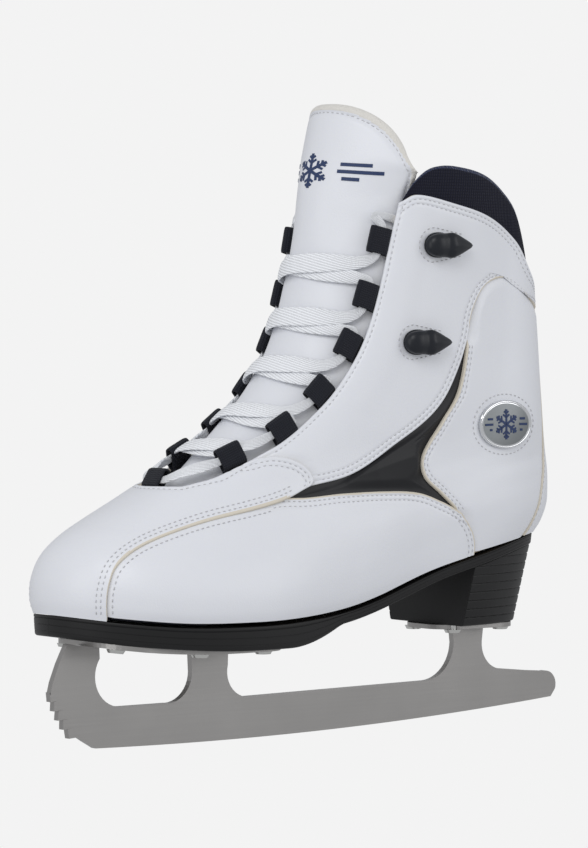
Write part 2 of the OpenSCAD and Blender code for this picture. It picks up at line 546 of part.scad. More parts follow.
// Rings of a disc on the surface, from its middle to its rim
module badge(side) color(silver) {
    n = 32;
    rings = [0.02, 0.5, 0.9, 1];
    dome = [0, 0, -0.1, -0.7];
    grid = [for (k = [0:n]) let(w = 360 * k / n)
        [for (r = rings) let(q = place(badge_place + [r * badge_len / 2 * cos(w), r * badge_h / 2 * sin(w)]))
            [side > 0 ? q[0] : 360 - q[0], q[1]]]];
    top = [for (i = [0:n - 1]) for (j = [0:3])
        surf(grid[i][j][0], grid[i][j][1], lap_t + 0.3 + badge_t + dome[j])];
    low = [for (i = [0:n - 1]) for (j = [0:3]) surf(grid[i][j][0], grid[i][j][1], lap_t + 0.3)];
    m = 4 * n;
    quads = concat(
        [for (i = [0:n - 1]) for (j = [0:2]) let(a = 4 * i + j, b = 4 * ((i + 1) % n) + j) [a, a + 1, b + 1, b]],
        [for (i = [0:n - 1]) for (j = [0:2])
            let(a = m + 4 * i + j, b = m + 4 * ((i + 1) % n) + j) [a, b, b + 1, a + 1]],
        [for (i = [0:n - 1]) let(a = 4 * i + 3, b = 4 * ((i + 1) % n) + 3) [a, a + m, b + m, b]]);
    tris = concat([for (q = quads) each [[q[0], q[1], q[2]], [q[0], q[2], q[3]]]],
        [for (i = [1:n - 2]) [0, 4 * i, 4 * (i + 1)]],
        [for (i = [1:n - 2]) [m, m + 4 * (i + 1), m + 4 * i]]);
    polyhedron(concat(top, low), side < 0 ? [for (t = tris) [t[2], t[1], t[0]]] : tris);
}
module badge_lateral() badge(1);
module badge_medial() badge(-1);

// --- sub-parts: the sole ---------------------------------------------------------
// Underside of the sole strip along the boot: [x, z]
function under_z(x) =
    let(strip = smooth(feather, x)[1] - strip_t,
        flat = ball_z + 0.0012 * pow(max(x - 62, 0), 2) + 0.02 * pow(max(45 - x, 0), 1.75))
    min(flat, strip);
// Ring of the sole's outline at an inset, [a, x, y] for both sides
function outline(a, inset) =
    let(p = skin(a, 0), t = skin(a + 0.5, 0) - skin(a - 0.5, 0), n = unit([-t[1], t[0]]))
    [p[0] + n[0] * (welt - inset), p[1] + n[1] * (welt - inset)];
// A slab between two heights: rows run from the outer side to the inner side
module slab(a0, a1, n, top_in, low_in, top, low) {
    rows = [for (i = [0:n]) a0 + (a1 - a0) * i / n];
    function side(a, inset, f) = let(p = outline(a, inset)) [p[0], p[1], f(p[0])];
    wall([for (a = rows) [side(a, top_in, top), side(360 - a, top_in, top)]],
        [for (a = rows) [side(a, low_in, low), side(360 - a, low_in, low)]], true);
}
sole_gap = 0.15;
module outsole() color(black)
    slab(1.5, 178.5, 64, 0, 0.8, function(x) smooth(feather, x)[1] - sole_gap, function(x) under_z(x));
breast_a = 54;
heel_taper = 6.5;
heel_back_in = 7;
function heel_top(a) = let(p = outline(a, 1)) [p[0], p[1], under_z(p[0]) - sole_gap];
function heel_low(a) =
    let(p = outline(a, 1), share = max((p[0] + 60) / -58, 0))
    [p[0] + heel_back_in * share + 0.5, p[1] * (1 - heel_taper / 30), heel_z];
module heel_block() color(black) {
    n = 18;
    rows = [for (i = [0:n]) 3 + (breast_a - 3) * i / n];
    wall([for (a = rows) [heel_top(a), heel_top(360 - a)]],
        [for (a = rows) [heel_low(a), heel_low(360 - a)]], true);
}
shank_w = 13;
shank_t = 1.2;
board_gap = 1.6;
module shank() color(steel) {
    xs = [for (i = [0:16]) -62 + 100 * i / 16];
    wall([for (x = xs) [[x, shank_w / 2, smooth(feather, x)[1] + 0.2 + shank_t],
            [x, -shank_w / 2, smooth(feather, x)[1] + 0.2 + shank_t]]],
        [for (x = xs) [[x, shank_w / 2, smooth(feather, x)[1] + 0.2],
            [x, -shank_w / 2, smooth(feather, x)[1] + 0.2]]], true);
}
insole_t = 2;
footbed_t = 3;
foot_in = 8.2;
module insole_board() color(board)
    slab(9, 171, 40, foot_in, foot_in,
        function(x) smooth(feather, x)[1] + board_gap + insole_t, function(x) smooth(feather, x)[1] + board_gap);
module footbed() color(navy)
    slab(9, 171, 40, foot_in, foot_in,
        function(x) smooth(feather, x)[1] + board_gap + insole_t + 0.2 + footbed_t,
        function(x) smooth(feather, x)[1] + board_gap + insole_t + 0.2);

// --- sub-parts: plates, screws and runner --------------------------------------------
sole_plate_x = [36, 124];
heel_plate_x = [-104, -60];
sole_screws = [[118, 18], [118, -18], [80, 25], [80, -25], [46, 24], [46, -24]];
heel_screws = [[-68, 13.5], [-68, -13.5], [-98, 11], [-98, -11]];
screw_play = 0.2;
// Height of the sole plate's upper face, which follows the sole up at the toe
plate_gap = 0.1;
function plate_z(x) = (x < 62 ? ball_z : under_z(x)) - plate_gap;
module plan(x, w, nose) {
    linear_extrude(80) hull() {
        translate([x[0] + 12, w / 2 - 12]) circle(12, $fn = 48);
        translate([x[0] + 12, 12 - w / 2]) circle(12, $fn = 48);
        translate([x[1] - nose, w / 2 - nose - 3]) circle(nose, $fn = 48);
        translate([x[1] - nose, nose + 3 - w / 2]) circle(nose, $fn = 48);
    }
}
module holes(places, top) for (s = places) at_screw(s, top)
    translate([0, 0, -1]) cylinder(r = screw_r + screw_play, h = plate_t + 2, $fn = 32);
// A screw's own axes, with its origin on the plate's underside
module at_screw(s, top) translate([s[0], s[1], top(s[0])])
    rotate([0, -atan2(top(s[0] + 0.5) - top(s[0] - 0.5), 1), 0]) translate([0, 0, -plate_t]) children();
module sole_plate() color(steel) {
    xs = [for (i = [0:13]) 30 + 104 * i / 13];
    top = [for (x = xs) [x, plate_z(x)]];
    low = [for (i = [13:-1:0]) [xs[i], plate_z(xs[i]) - plate_t]];
    difference() {
        intersection() {
            plan(sole_plate_x, sole_plate_w, 18);
            translate([0, 50, 0]) rotate([90, 0, 0]) linear_extrude(100) polygon(concat(top, low));
        }
        holes(sole_screws, function(x) plate_z(x));
    }
}
heel_plate_z = heel_z - plate_gap;
module heel_plate() color(steel) difference() {
    intersection() {
        plan(heel_plate_x, heel_plate_w, 12);
        translate([-150, -50, heel_plate_z - plate_t]) cube([150, 100, plate_t]);
    }
    holes(heel_screws, function(x) heel_plate_z);
}
screw_head_t = 1.5;
module screws(places, top) color(zinc) for (s = places) at_screw(s, top) {
    translate([0, 0, -screw_head_t - 0.05])
        cylinder(r1 = screw_head_r * 0.8, r2 = screw_head_r, h = screw_head_t, $fn = 40);
    translate([0, 0, -1]) cylinder(r = screw_r, h = plate_t + screw_grip, $fn = 32);
}
module sole_plate_screws() screws(sole_screws, function(x) plate_z(x));
module heel_plate_screws() screws(heel_screws, function(x) heel_plate_z);

half_len = runner_len / 2;
sole_under = ball_z - plate_gap - plate_t;
heel_under = heel_z - plate_gap - plate_t;
function arc(c, r, a0, a1, n) = [for (i = [0:n]) let(a = a0 + (a1 - a0) * i / n) c + r * [cos(a), sin(a)]];
// The ice edge is a wide arc, lowest under the ball of the foot
rocker = 2350;
edge_low_x = 45;
function edge_z(x) = rocker - sqrt(rocker * rocker - pow(x - edge_low_x, 2));
pick_z0 = 6.4;
function pick_x(i) = half_len - 10.2 + 10 * sin(80 * i / pick_count);
// Points of the toe picks, from the lowest up: a point, then the notch above it
picks = [for (i = [0:pick_count - 1]) let(z = pick_z0 + i * pick_pitch)
    each [[half_len - 14.2 + 2.55 * i, z], [half_len - 9.6 + (14 - i) * i / 4.3, z - 0.3],
        [half_len - 11.4 + 2.5 * (i + 1) - 0.25 * i, z + pick_pitch - 0.25]]];
runner_outline = concat(
    [for (i = [0:24]) let(x = -half_len + 3 + (117 + half_len - 3) * i / 24) [x, edge_z(x)]],
    [[half_len - 17, 4.6]],
    picks,
    [[half_len - 0.1, 24.5], [half_len - 1.5, 30], [half_len - 4.6, 37.5], [half_len - 8.8, plate_z(131) - plate_t]],
    [[124.5, plate_z(124.5) - plate_t - 0.05], [115, plate_z(115) - plate_t - 0.05]],
    arc([104, 31], 13.2, 35, -90, 14),
    [[80, bar_h - 0.3]],
    arc([79.5, 30.2], 12.6, -90, -180, 10),
    [[67.4, sole_under], [47.6, sole_under]],
    arc([36.8, 29.2], 11.4, 15, -82, 10),
    arc([-62, 35.5], 16.9, -92, -178, 12),
    [[-78, heel_under], [-96.4, heel_under]],
    arc([-107.6, 33.6], 12.2, 5, -78, 10),
    [[-124, 19.6]],
    arc([-133.6, 12.6], 6.4, 80, 200, 10));
module runner() color(steel)
    translate([0, runner_t / 2, 0]) rotate([90, 0, 0]) linear_extrude(runner_t) polygon(runner_outline);

runner();
sole_plate();
heel_plate();
sole_plate_screws();
heel_plate_screws();
outsole();
heel_block();
shank();
insole_board();
footbed();
vamp();
side_panel_lateral();
side_panel_medial();
quarter_lateral();
quarter_medial();
counter_lateral();
counter_medial();
backstay();
insert_lateral();
insert_medial();
toe_puff();
heel_stiffener();
ankle_board_lateral();
ankle_board_medial();
lining_lateral();
lining_medial();
collar_pad();
tongue_lower();
tongue_upper();
lace_loops_lateral();
lace_loops_medial();
lace_loop_centre();
lace();
lace_aglets();
hook_lateral_upper();
hook_lateral_lower();
hook_medial_upper();
hook_medial_lower();
hook_rivets();
badge_lateral();
badge_medial();
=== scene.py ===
"""Looks of a laced left figure skate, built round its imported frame.

The boot is one smooth surface, skin(a, l). Angle a goes round it in degrees: 0 at the
back, 90 at the outer side, 180 at the front, 270 at the inner side. Level l is the height
above the sole's upper edge. Shapes are worked out in millimetres and stored in metres.
+X points to the toe, +Y to the outer side, +Z up, and the ice is at Z = 0.
"""

import bpy
import numpy as np
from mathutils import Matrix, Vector


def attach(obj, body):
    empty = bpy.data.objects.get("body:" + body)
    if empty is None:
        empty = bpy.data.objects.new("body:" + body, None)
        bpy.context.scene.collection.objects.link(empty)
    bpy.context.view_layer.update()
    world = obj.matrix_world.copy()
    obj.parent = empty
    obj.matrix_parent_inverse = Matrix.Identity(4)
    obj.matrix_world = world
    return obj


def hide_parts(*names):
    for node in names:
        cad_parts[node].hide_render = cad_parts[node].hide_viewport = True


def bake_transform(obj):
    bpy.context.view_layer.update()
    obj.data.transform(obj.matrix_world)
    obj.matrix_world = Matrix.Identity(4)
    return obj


bl_info = {
    "name": "Figure Skate",
    "version": (1, 0, 0),
    "blender": (4, 5, 0),
    "location": "3D View > Sidebar > Skate",
    "description": "Builds the leather, laces, sole and trim of a figure skate round its frame",
    "category": "Add Mesh",
}

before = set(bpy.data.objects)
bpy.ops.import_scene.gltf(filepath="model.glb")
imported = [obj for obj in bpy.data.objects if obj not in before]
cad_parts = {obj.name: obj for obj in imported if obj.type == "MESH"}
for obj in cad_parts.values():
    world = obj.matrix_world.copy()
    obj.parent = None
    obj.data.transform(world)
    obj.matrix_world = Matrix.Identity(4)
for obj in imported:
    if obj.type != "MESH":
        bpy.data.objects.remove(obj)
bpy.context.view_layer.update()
MM = 0.001
BOOT = "boot"
SIDES = (("lateral", 1), ("medial", -1))


# --- what a user would change ---------------------------------------------------------------
def length(name, words, default):
    """A size in millimetres."""
    return bpy.props.FloatProperty(name=name, description=words, default=default, min=0)


def colour(name, words, default):
    """A colour."""
    return bpy.props.FloatVectorProperty(
        name=name, description=words, subtype="COLOR", size=3, min=0, max=1, default=default
    )


class SkateSizes(bpy.types.PropertyGroup):
    """Sizes of the skate's soft parts and sewing, in millimetres"""

    leather: length("Leather", "Thickness of the leather", 1.9)
    lap: length("Lap", "Height of a lapped piece over the one beside it", 0.9)
    bevel: length("Bevel", "Width of a cut or folded edge", 0.8)
    pitch: length("Stitch pitch", "Step from one stitch to the next", 2.5)
    stitch: length("Stitch", "Length of one stitch", 1.55)
    thread: length("Thread", "Radius of the thread", 0.21)
    groove: length("Groove", "Depth that a seam pulls in", 0.3)
    lace_w: length("Lace width", "Width of the lace", 8.5)
    lace_t: length("Lace", "Thickness of the lace", 1.3)
    web_w: length("Webbing width", "Width of a lace loop", 11.5)
    web_t: length("Webbing", "Thickness of the webbing", 1.1)
    tongue: length("Tongue", "Thickness of the tongue", 8)
    collar: length("Collar", "Thickness of the collar", 4.5)


class SkateColours(bpy.types.PropertyGroup):
    """Colours of the skate's materials"""

    white: colour("White", "Leather", (0.74, 0.755, 0.80))
    cream: colour("Cream", "Cut edges of the leather", (0.66, 0.61, 0.52))
    thread: colour("Thread", "Sewing thread", (0.52, 0.52, 0.54))
    lace: colour("Lace", "Lace", (0.93, 0.95, 0.99))
    webbing: colour("Webbing", "Lace loops", (0.011, 0.013, 0.022))
    lining: colour("Lining", "Lining and collar", (0.006, 0.007, 0.021))
    fleece: colour("Fleece", "Brushed edge of the collar", (0.014, 0.024, 0.075))
    insert: colour("Insert", "Moulded insert", (0.006, 0.0064, 0.0085))
    hook: colour("Hook", "Lace hooks", (0.009, 0.011, 0.016))
    sole: colour("Sole", "Sole and heel", (0.007, 0.007, 0.0075))
    steel: colour("Steel", "Runner and plates", (0.40, 0.39, 0.38))
    zinc: colour("Zinc", "Screws", (0.66, 0.66, 0.64))
    silver: colour("Silver", "Badge", (0.27, 0.285, 0.295))
    mark: colour("Mark", "Emblems", (0.025, 0.045, 0.12))
    backdrop: colour("Backdrop", "Behind the skate", (0.897, 0.897, 0.897))


def sizes():
    """The sizes set on the scene."""
    return bpy.context.scene.skate_sizes


def colours():
    """The colours set on the scene."""
    return bpy.context.scene.skate_colours


# --- curves and the boot's surface ----------------------------------------------------------
def smooth(table, x):
    """The cubic curve through a table's rows, whose slope at a row is the slope between
    the rows on its two sides; flat past the ends."""
    t = np.asarray(table, float)
    at, val = t[:, 0], t[:, 1:]
    slope = np.empty_like(val)
    slope[1:-1] = (val[2:] - val[:-2]) / (at[2:] - at[:-2])[:, None]
    slope[0] = (val[1] - val[0]) / (at[1] - at[0])
    slope[-1] = (val[-1] - val[-2]) / (at[-1] - at[-2])
    x = np.clip(np.asarray(x, float), at[0], at[-1])
    i = np.clip(np.searchsorted(at, x, side="right") - 1, 0, len(at) - 2)
    h = (at[i + 1] - at[i])[..., None]
    u = (x - at[i])[..., None] / h
    out = (
        (2 * u**3 - 3 * u**2 + 1) * val[i] + (u**3 - 2 * u**2 + u) * h * slope[i]
        + (3 * u**2 - 2 * u**3) * val[i + 1] + (u**3 - u**2) * h * slope[i + 1]
    )
    return out[..., 0] if val.shape[1] == 1 else out


def fade(x, over):
    """1 at x = 0 and 0 from x = over on, along a smooth step."""
    u = np.clip(np.asarray(x, float) / over, 0, 1)
    return 1 - u * u * (3 - 2 * u)


def rounding(x, over):
    """1 at x = 0 and 0 from x = over on, along a quarter circle."""
    return 1 - np.sqrt(np.clip(1 - (1 - np.clip(x / over, 0, 1)) ** 2, 0, 1))


def unit(v):
    """Vectors at length 1."""
    return v / np.maximum(np.linalg.norm(v, axis=-1, keepdims=True), 1e-9)


def by_length(pts):
    """Points with the share of the length run so far in front, as a table."""
    pts = np.asarray(pts, float)
    run = np.concatenate([[0], np.cumsum(np.linalg.norm(np.diff(pts, axis=0), axis=1))])
    return np.column_stack([run / run[-1], pts])


# Height of the sole's upper edge along the boot: (x, z)
FEATHER = [
    (-125, 84), (-100, 83), (-66, 76), (-45, 71), (-24, 64.5), (-8, 59.6), (8, 56),
    (24, 54), (45, 52.7), (65, 52.3), (94, 52.7), (120, 55.2), (140, 58.3),
]
FEATHER_LOW = 53
LIFT_OVER = 100
# Sections by level: level, back x, front x, radius at the back, half-widths at each
# station on the way forward, radius at the front
SECTIONS = [
    (0, -117, 134.5, 26, 29.5, 33, 37, 45.5, 37, 36),
    (6, -121.5, 136, 27, 31, 34, 39, 47, 39, 38),
    (15, -124.5, 135.5, 28, 32.5, 35, 39.5, 46.5, 39, 38),
    (25, -125, 132, 28, 33, 36, 39, 43.5, 36, 34),
    (34, -125, 124.5, 28, 32.5, 36, 38, 39.5, 31.5, 28),
    (42, -124.6, 113.5, 28, 32, 35.5, 36.5, 36, 28, 24),
    (50, -124, 100, 28, 31, 35, 35.5, 33.5, 26, 22),
    (58, -123.2, 85.5, 28, 31, 34.5, 35, 32, 25, 22),
    (68, -122.2, 66, 28, 31, 34.5, 35, 32.5, 26, 23),
    (80, -121, 47, 28, 31, 34.5, 36, 34, 27.5, 25),
    (95, -119.8, 29, 28, 30, 34.5, 36.5, 35.5, 29.5, 27),
    (115, -118, 14, 27.5, 29, 34, 36.5, 36.5, 31, 28),
    (140, -115.5, 4, 27, 28.5, 34, 37, 37, 31.5, 29),
    (165, -114, -3, 27, 28.5, 34.5, 38, 38, 32, 30),
    (190, -113, -8, 27, 29, 35.5, 39, 39, 33, 31),
    (225, -112, -14, 27, 29, 36, 40, 40, 34, 32),
]
STATIONS = np.array([0.12, 0.30, 0.50, 0.70, 0.88])
WAY = np.degrees(np.arccos(1 - 2 * STATIONS))
# How far the toe turns in from the runner's line: (x, y)
TURN_IN = [(-130, 0), (20, 0), (60, -1.5), (100, -4.5), (140, -7)]


def fullness(s, th):
    """Half-width over the sine of the angle: a cubic over the stations' angles, even about
    the back and the front, where the section's radius gives it."""
    run = (s[..., 1] - s[..., 0])[..., None]
    mid = s[..., 3:8] / np.sin(np.radians(WAY))
    back, front = np.sqrt(s[..., 2:3] * run / 2), np.sqrt(s[..., 8:9] * run / 2)
    knots = np.concatenate([[-WAY[0], 0], WAY, [180, 360 - WAY[-1]]])
    val = np.concatenate([mid[..., :1], back, mid, front, mid[..., -1:]], -1)
    i = np.clip(np.searchsorted(knots, th, side="right") - 1, 1, len(knots) - 3)

    def take(k):
        return np.take_along_axis(val, k[..., None], -1)[..., 0]

    h = knots[i + 1] - knots[i]
    u = (th - knots[i]) / h
    s0 = (take(i + 1) - take(i - 1)) / (knots[i + 1] - knots[i - 1])
    s1 = (take(i + 2) - take(i)) / (knots[i + 2] - knots[i])
    return (
        (2 * u**3 - 3 * u**2 + 1) * take(i) + (u**3 - 2 * u**2 + u) * h * s0
        + (3 * u**2 - 2 * u**3) * take(i + 1) + (u**3 - u**2) * h * s1
    )


def skin(a, l):
    """The boot's surface: x runs from the back to the front as (1 - cos a) / 2, y is the
    fullness times sin a with the toe's turn, z is the level over the sole's edge."""
    a, l = np.broadcast_arrays(np.asarray(a, float), np.asarray(l, float))
    s = smooth(SECTIONS, l)
    ra = np.radians(a)
    x = s[..., 0] + (s[..., 1] - s[..., 0]) * (1 - np.cos(ra)) / 2
    th = np.degrees(np.arccos(np.clip(np.cos(ra), -1, 1)))
    y = fullness(s, th) * np.sin(ra) + smooth(TURN_IN, x) * fade(l, LIFT_OVER / 0.8)
    z = FEATHER_LOW + l + (smooth(FEATHER, x) - FEATHER_LOW) * fade(l, LIFT_OVER)
    return np.stack([x, y, z], -1)


def outward(a, l):
    """Unit normal of the boot's surface."""
    up = skin(a, np.add(l, 0.5)) - skin(a, np.subtract(l, 0.5))
    return unit(np.cross(up, skin(np.add(a, 0.5), l) - skin(np.subtract(a, 0.5), l)))


def surf(a, l, off=0.0):
    """A point off the boot's surface by a height along its normal."""
    return skin(a, l) + np.asarray(off, float)[..., None] * outward(a, l)


LOW_L = 0.3


def place(pts):
    """Angle and level of side-view points (x, z) on the outer side."""
    x, z = np.moveaxis(np.asarray(pts, float), -1, 0)
    lift = smooth(FEATHER, x) - FEATHER_LOW
    l = np.full_like(x, 40.0)
    for _ in range(14):
        l = z - FEATHER_LOW - lift * fade(l, LIFT_OVER)
    l = np.maximum(l, LOW_L)
    s = smooth(SECTIONS, l)
    c = 1 - 2 * (x - s[..., 0]) / (s[..., 1] - s[..., 0])
    return np.stack([np.degrees(np.arccos(np.clip(c, -1, 1))), l], -1)


def places(pts):
    """An edge through side-view points, as a table by its length."""
    return by_length(place(pts))


def across(q, side):
    """Angles and levels moved to the inner side for side -1."""
    out = np.array(q, float)
    if side < 0:
        out[..., 0] = 360 - out[..., 0]
    return out


def coons(c0, c1, d0, d1, nu=241, nv=101):
    """The patch between four edges: c0 and c1 along it, d0 and d1 across its ends. Gives
    angle, level, u and v."""
    u, v = np.meshgrid(np.linspace(0, 1, nu), np.linspace(0, 1, nv), indexing="ij")
    u1, v1 = u[..., None], v[..., None]
    ends = [smooth(c, np.array([0.0, 1.0])) for c in (c0, c1)]
    al = (
        (1 - v1) * smooth(c0, u) + v1 * smooth(c1, u) + (1 - u1) * smooth(d0, v) + u1 * smooth(d1, v)
        - (1 - u1) * (1 - v1) * ends[0][0] - u1 * (1 - v1) * ends[0][1]
        - (1 - u1) * v1 * ends[1][0] - u1 * v1 * ends[1][1]
    )
    return np.concatenate([al, u1, v1], -1)


def beside(line, mm):
    """A line of angles and levels moved across the surface, to the left of its run."""
    a, l = line[:, 0], line[:, 1]
    pa = skin(a + 0.5, l) - skin(a - 0.5, l)
    pl = skin(a, l + 0.5) - skin(a, l - 0.5)
    go = unit(np.gradient(skin(a, l), axis=0))
    d = np.cross(outward(a, l), go) * mm
    m = np.stack([np.stack([(pa * pa).sum(-1), (pa * pl).sum(-1)], -1),
                  np.stack([(pa * pl).sum(-1), (pl * pl).sum(-1)], -1)], -2)
    rhs = np.stack([(pa * d).sum(-1), (pl * d).sum(-1)], -1)
    return line[:, :2] + np.linalg.solve(m, rhs[..., None])[..., 0]


# --- meshes ---------------------------------------------------------------------------------
def quads(n, m, wrap=False):
    """Faces of a grid of n rows and m columns; wrap joins its last column to its first."""
    i, j = np.arange(n - 1)[:, None], np.arange(m if wrap else m - 1)[None]
    k = (j + 1) % m
    return np.stack([i * m + j, i * m + k, (i + 1) * m + k, (i + 1) * m + j], -1).reshape(-1, 4)


class Piece:
    """A mesh piece gathered from closed parts, in millimetres."""

    def __init__(self, name):
        self.name, self.pts, self.uv, self.faces, self.count = name, [], [], [], 0

    def add(self, pts, groups, uv=None):
        """Adds a closed part: its points and (faces, material) pairs, turned outward."""
        pts = np.asarray(pts, float).reshape(-1, 3)
        volume = 0.0
        for f, _ in groups:
            for k in range(1, f.shape[1] - 1):
                a, b, c = pts[f[:, 0]], pts[f[:, k]], pts[f[:, k + 1]]
                volume += float((a * np.cross(b, c)).sum())
        for f, index in groups:
            self.faces.append(((f if volume > 0 else f[:, ::-1]) + self.count, index))
        self.pts.append(pts)
        self.uv.append(np.zeros((len(pts), 2)) if uv is None else np.asarray(uv).reshape(-1, 2))
        self.count += len(pts)

    def shell(self, top, low, index=0, wall=0, under=0, uv=None):
        """A closed shell between two grids; index may be a number for each top face."""
        n, m = top.shape[:2]
        f = quads(n, m)
        left, front = np.arange(n - 1) * m, np.arange(m - 1)
        right, back, lower = left + m - 1, front + (n - 1) * m, n * m
        e = np.concatenate([
            np.stack([left, left + m, left + m + lower, left + lower], -1),
            np.stack([front, front + lower, front + 1 + lower, front + 1], -1),
            np.stack([right, right + lower, right + m + lower, right + m], -1),
            np.stack([back, back + 1, back + 1 + lower, back + lower], -1),
        ])
        if uv is None:
            uv = np.zeros((n, m, 2))
        index = np.broadcast_to(index, len(f))
        groups = [(f[index == k], int(k)) for k in np.unique(index)]
        groups += [(f[:, ::-1] + lower, under), (e, wall)]
        self.add(np.concatenate([top.reshape(-1, 3), low.reshape(-1, 3)]), groups,
                 np.concatenate([uv.reshape(-1, 2)] * 2))

    def tube(self, rings, index=0, cap=None, uv=None):
        """A closed tube of rings, with flat ends."""
        n, m = rings.shape[:2]
        f = quads(n, m, wrap=True)
        index = np.broadcast_to(index, len(f))
        groups = [(f[index == k], int(k)) for k in np.unique(index)]
        ends = np.stack([np.arange(m)[::-1], np.arange(m) + (n - 1) * m])
        groups.append((ends, int(index[0]) if cap is None else cap))
        self.add(rings, groups, uv)

    def make(self, materials, nodes=(), body=BOOT, sharp=50):
        """Makes the object, puts it on its body and hides the CAD nodes that it stands for."""
        mesh = bpy.data.meshes.new(self.name)
        loops = np.concatenate([f.ravel() for f, _ in self.faces])
        count = np.concatenate([np.full(len(f), f.shape[1]) for f, _ in self.faces])
        index = np.concatenate([np.full(len(f), k) for f, k in self.faces])
        mesh.vertices.add(self.count)
        mesh.vertices.foreach_set("co", (np.concatenate(self.pts) * MM).astype(np.float32).ravel())
        mesh.loops.add(len(loops))
        mesh.loops.foreach_set("vertex_index", loops.astype(np.int32))
        mesh.polygons.add(len(count))
        mesh.polygons.foreach_set("loop_start", (np.cumsum(count) - count).astype(np.int32))
        mesh.update(calc_edges=True)
        mesh.polygons.foreach_set("material_index", index.astype(np.int32))
        mesh.polygons.foreach_set("use_smooth", np.ones(len(count), bool))
        mesh.uv_layers.new(name="UVMap")
        uv = np.concatenate(self.uv)[loops].astype(np.float32)
        mesh.uv_layers[0].data.foreach_set("uv", uv.ravel())
        mesh.validate()
        mesh.set_sharp_from_angle(angle=np.radians(sharp))
        for m in materials:
            mesh.materials.append(m)
        obj = bpy.data.objects.new(self.name, mesh)
        bpy.context.scene.collection.objects.link(obj)
        if body:
            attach(obj, body)
        if nodes:
            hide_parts(*nodes)
        return obj


def run_along(p):
    """Length run along the second axis of a grid of points."""
    step = np.linalg.norm(np.diff(p, axis=1), axis=-1)
    return np.concatenate([np.zeros((len(p), 1)), np.cumsum(step, 1)], 1)


def edge_distances(p):
    """Distance of each grid point from the grid's four edges: the run along its line times
    the sine of the angle at which the line leaves the edge."""
    turned = p.swapaxes(0, 1)
    out = {}
    for name, q in (("v0", p), ("v1", p[:, ::-1]), ("u0", turned), ("u1", turned[:, ::-1])):
        along = unit(np.gradient(q[:, 0], axis=0))
        leave = unit(q[:, min(4, q.shape[1] - 1)] - q[:, 0])
        sine = np.clip(np.linalg.norm(np.cross(along, leave), axis=-1), 0.35, 1)
        d = run_along(q) * sine[:, None]
        if name[1] == "1":
            d = d[:, ::-1]
        out[name] = d.swapaxes(0, 1) if name[0] == "u" else d
    return out


def respaced(grid, first, last, n):
    """A grid whose lines along its second axis have points at the given distances from each
    end, in millimetres, and n evenly between."""
    run = run_along(skin(grid[..., 0], grid[..., 1]))
    total = run[:, -1:]
    first, last = np.array(first), np.array(last)
    room = np.minimum(1, 0.45 * total / max(first[-1], last[-1], 0.1))
    a, b = first * room, total - last[::-1] * room
    mid = a[:, -1:] + (b[:, :1] - a[:, -1:]) * np.linspace(0, 1, n + 2)[1:-1]
    t = np.clip(np.concatenate([a, mid, b], 1), 0, total)
    j = np.clip((run[:, None, :] <= t[:, :, None]).sum(-1), 1, run.shape[1] - 1)
    r0, r1 = np.take_along_axis(run, j - 1, 1), np.take_along_axis(run, j, 1)
    w = ((t - r0) / np.maximum(r1 - r0, 1e-9))[..., None]
    g0 = np.take_along_axis(grid, (j - 1)[..., None], 1)
    return g0 + w * (np.take_along_axis(grid, j[..., None], 1) - g0)


BEVEL_AT = [0, 0.08, 0.22, 0.42, 0.65, 0.9]
SEAM_AT = (-0.5, -0.25, 0, 0.25, 0.5)


def near(rows):
    """Distances from an edge that draw its bevel and its seams well."""
    out = BEVEL_AT + [r + step for r in rows for step in SEAM_AT]
    return sorted(out + [max(out) + 0.8])


# A stitch's four rings: place along it, height and radius over the thread's radius
STITCH_RINGS = np.array([(0, -1.3, 0.55), (0.22, 0.45, 1), (0.78, 0.45, 1), (1, -1.3, 0.55)])
STITCH_SIDES = 5


def stitch_row(piece, pts, up):
    """Stitches along a line: each is a small capsule, high in the middle and sunk at both
    ends, with four rings of five points."""
    s = sizes()
    run = np.concatenate([[0], np.cumsum(np.linalg.norm(np.diff(pts, axis=0), axis=1))])
    count = int(run[-1] / s.pitch)
    if count < 2:
        return
    start = (np.arange(count) + 0.5) * run[-1] / count - s.stitch / 2
    place_in, height, radius = STITCH_RINGS.T
    at = start[:, None] + place_in * s.stitch
    p = np.stack([np.interp(at, run, pts[:, k]) for k in range(3)], -1)
    n = unit(np.stack([np.interp(at, run, up[:, k]) for k in range(3)], -1))
    go = unit(p[:, 3] - p[:, 0])[:, None]
    side = unit(np.cross(n, go))
    p = p + n * (s.thread * height)[:, None]
    th = np.radians(np.arange(STITCH_SIDES) * 360 / STITCH_SIDES)[:, None]
    ring = np.cos(th) * side[:, :, None] + np.sin(th) * n[:, :, None]
    rings = p[:, :, None] + ring * (s.thread * radius)[:, None, None]
    levels, m = len(STITCH_RINGS), STITCH_SIDES
    k = np.arange(count)[:, None, None] * levels * m
    body = (quads(levels, m, wrap=True)[None] + k).reshape(-1, 4)
    ends = (np.stack([np.arange(m)[::-1], np.arange(m) + (levels - 1) * m])[None] + k).reshape(-1, m)
    piece.add(rings, [(body, 0), (ends, 0)])


def stitch_line(piece, line, off):
    """Stitches along angles and levels on the boot, at a height off its surface."""
    stitch_row(piece, surf(line[:, 0], line[:, 1], off + np.zeros(len(line))),
               outward(line[:, 0], line[:, 1]))


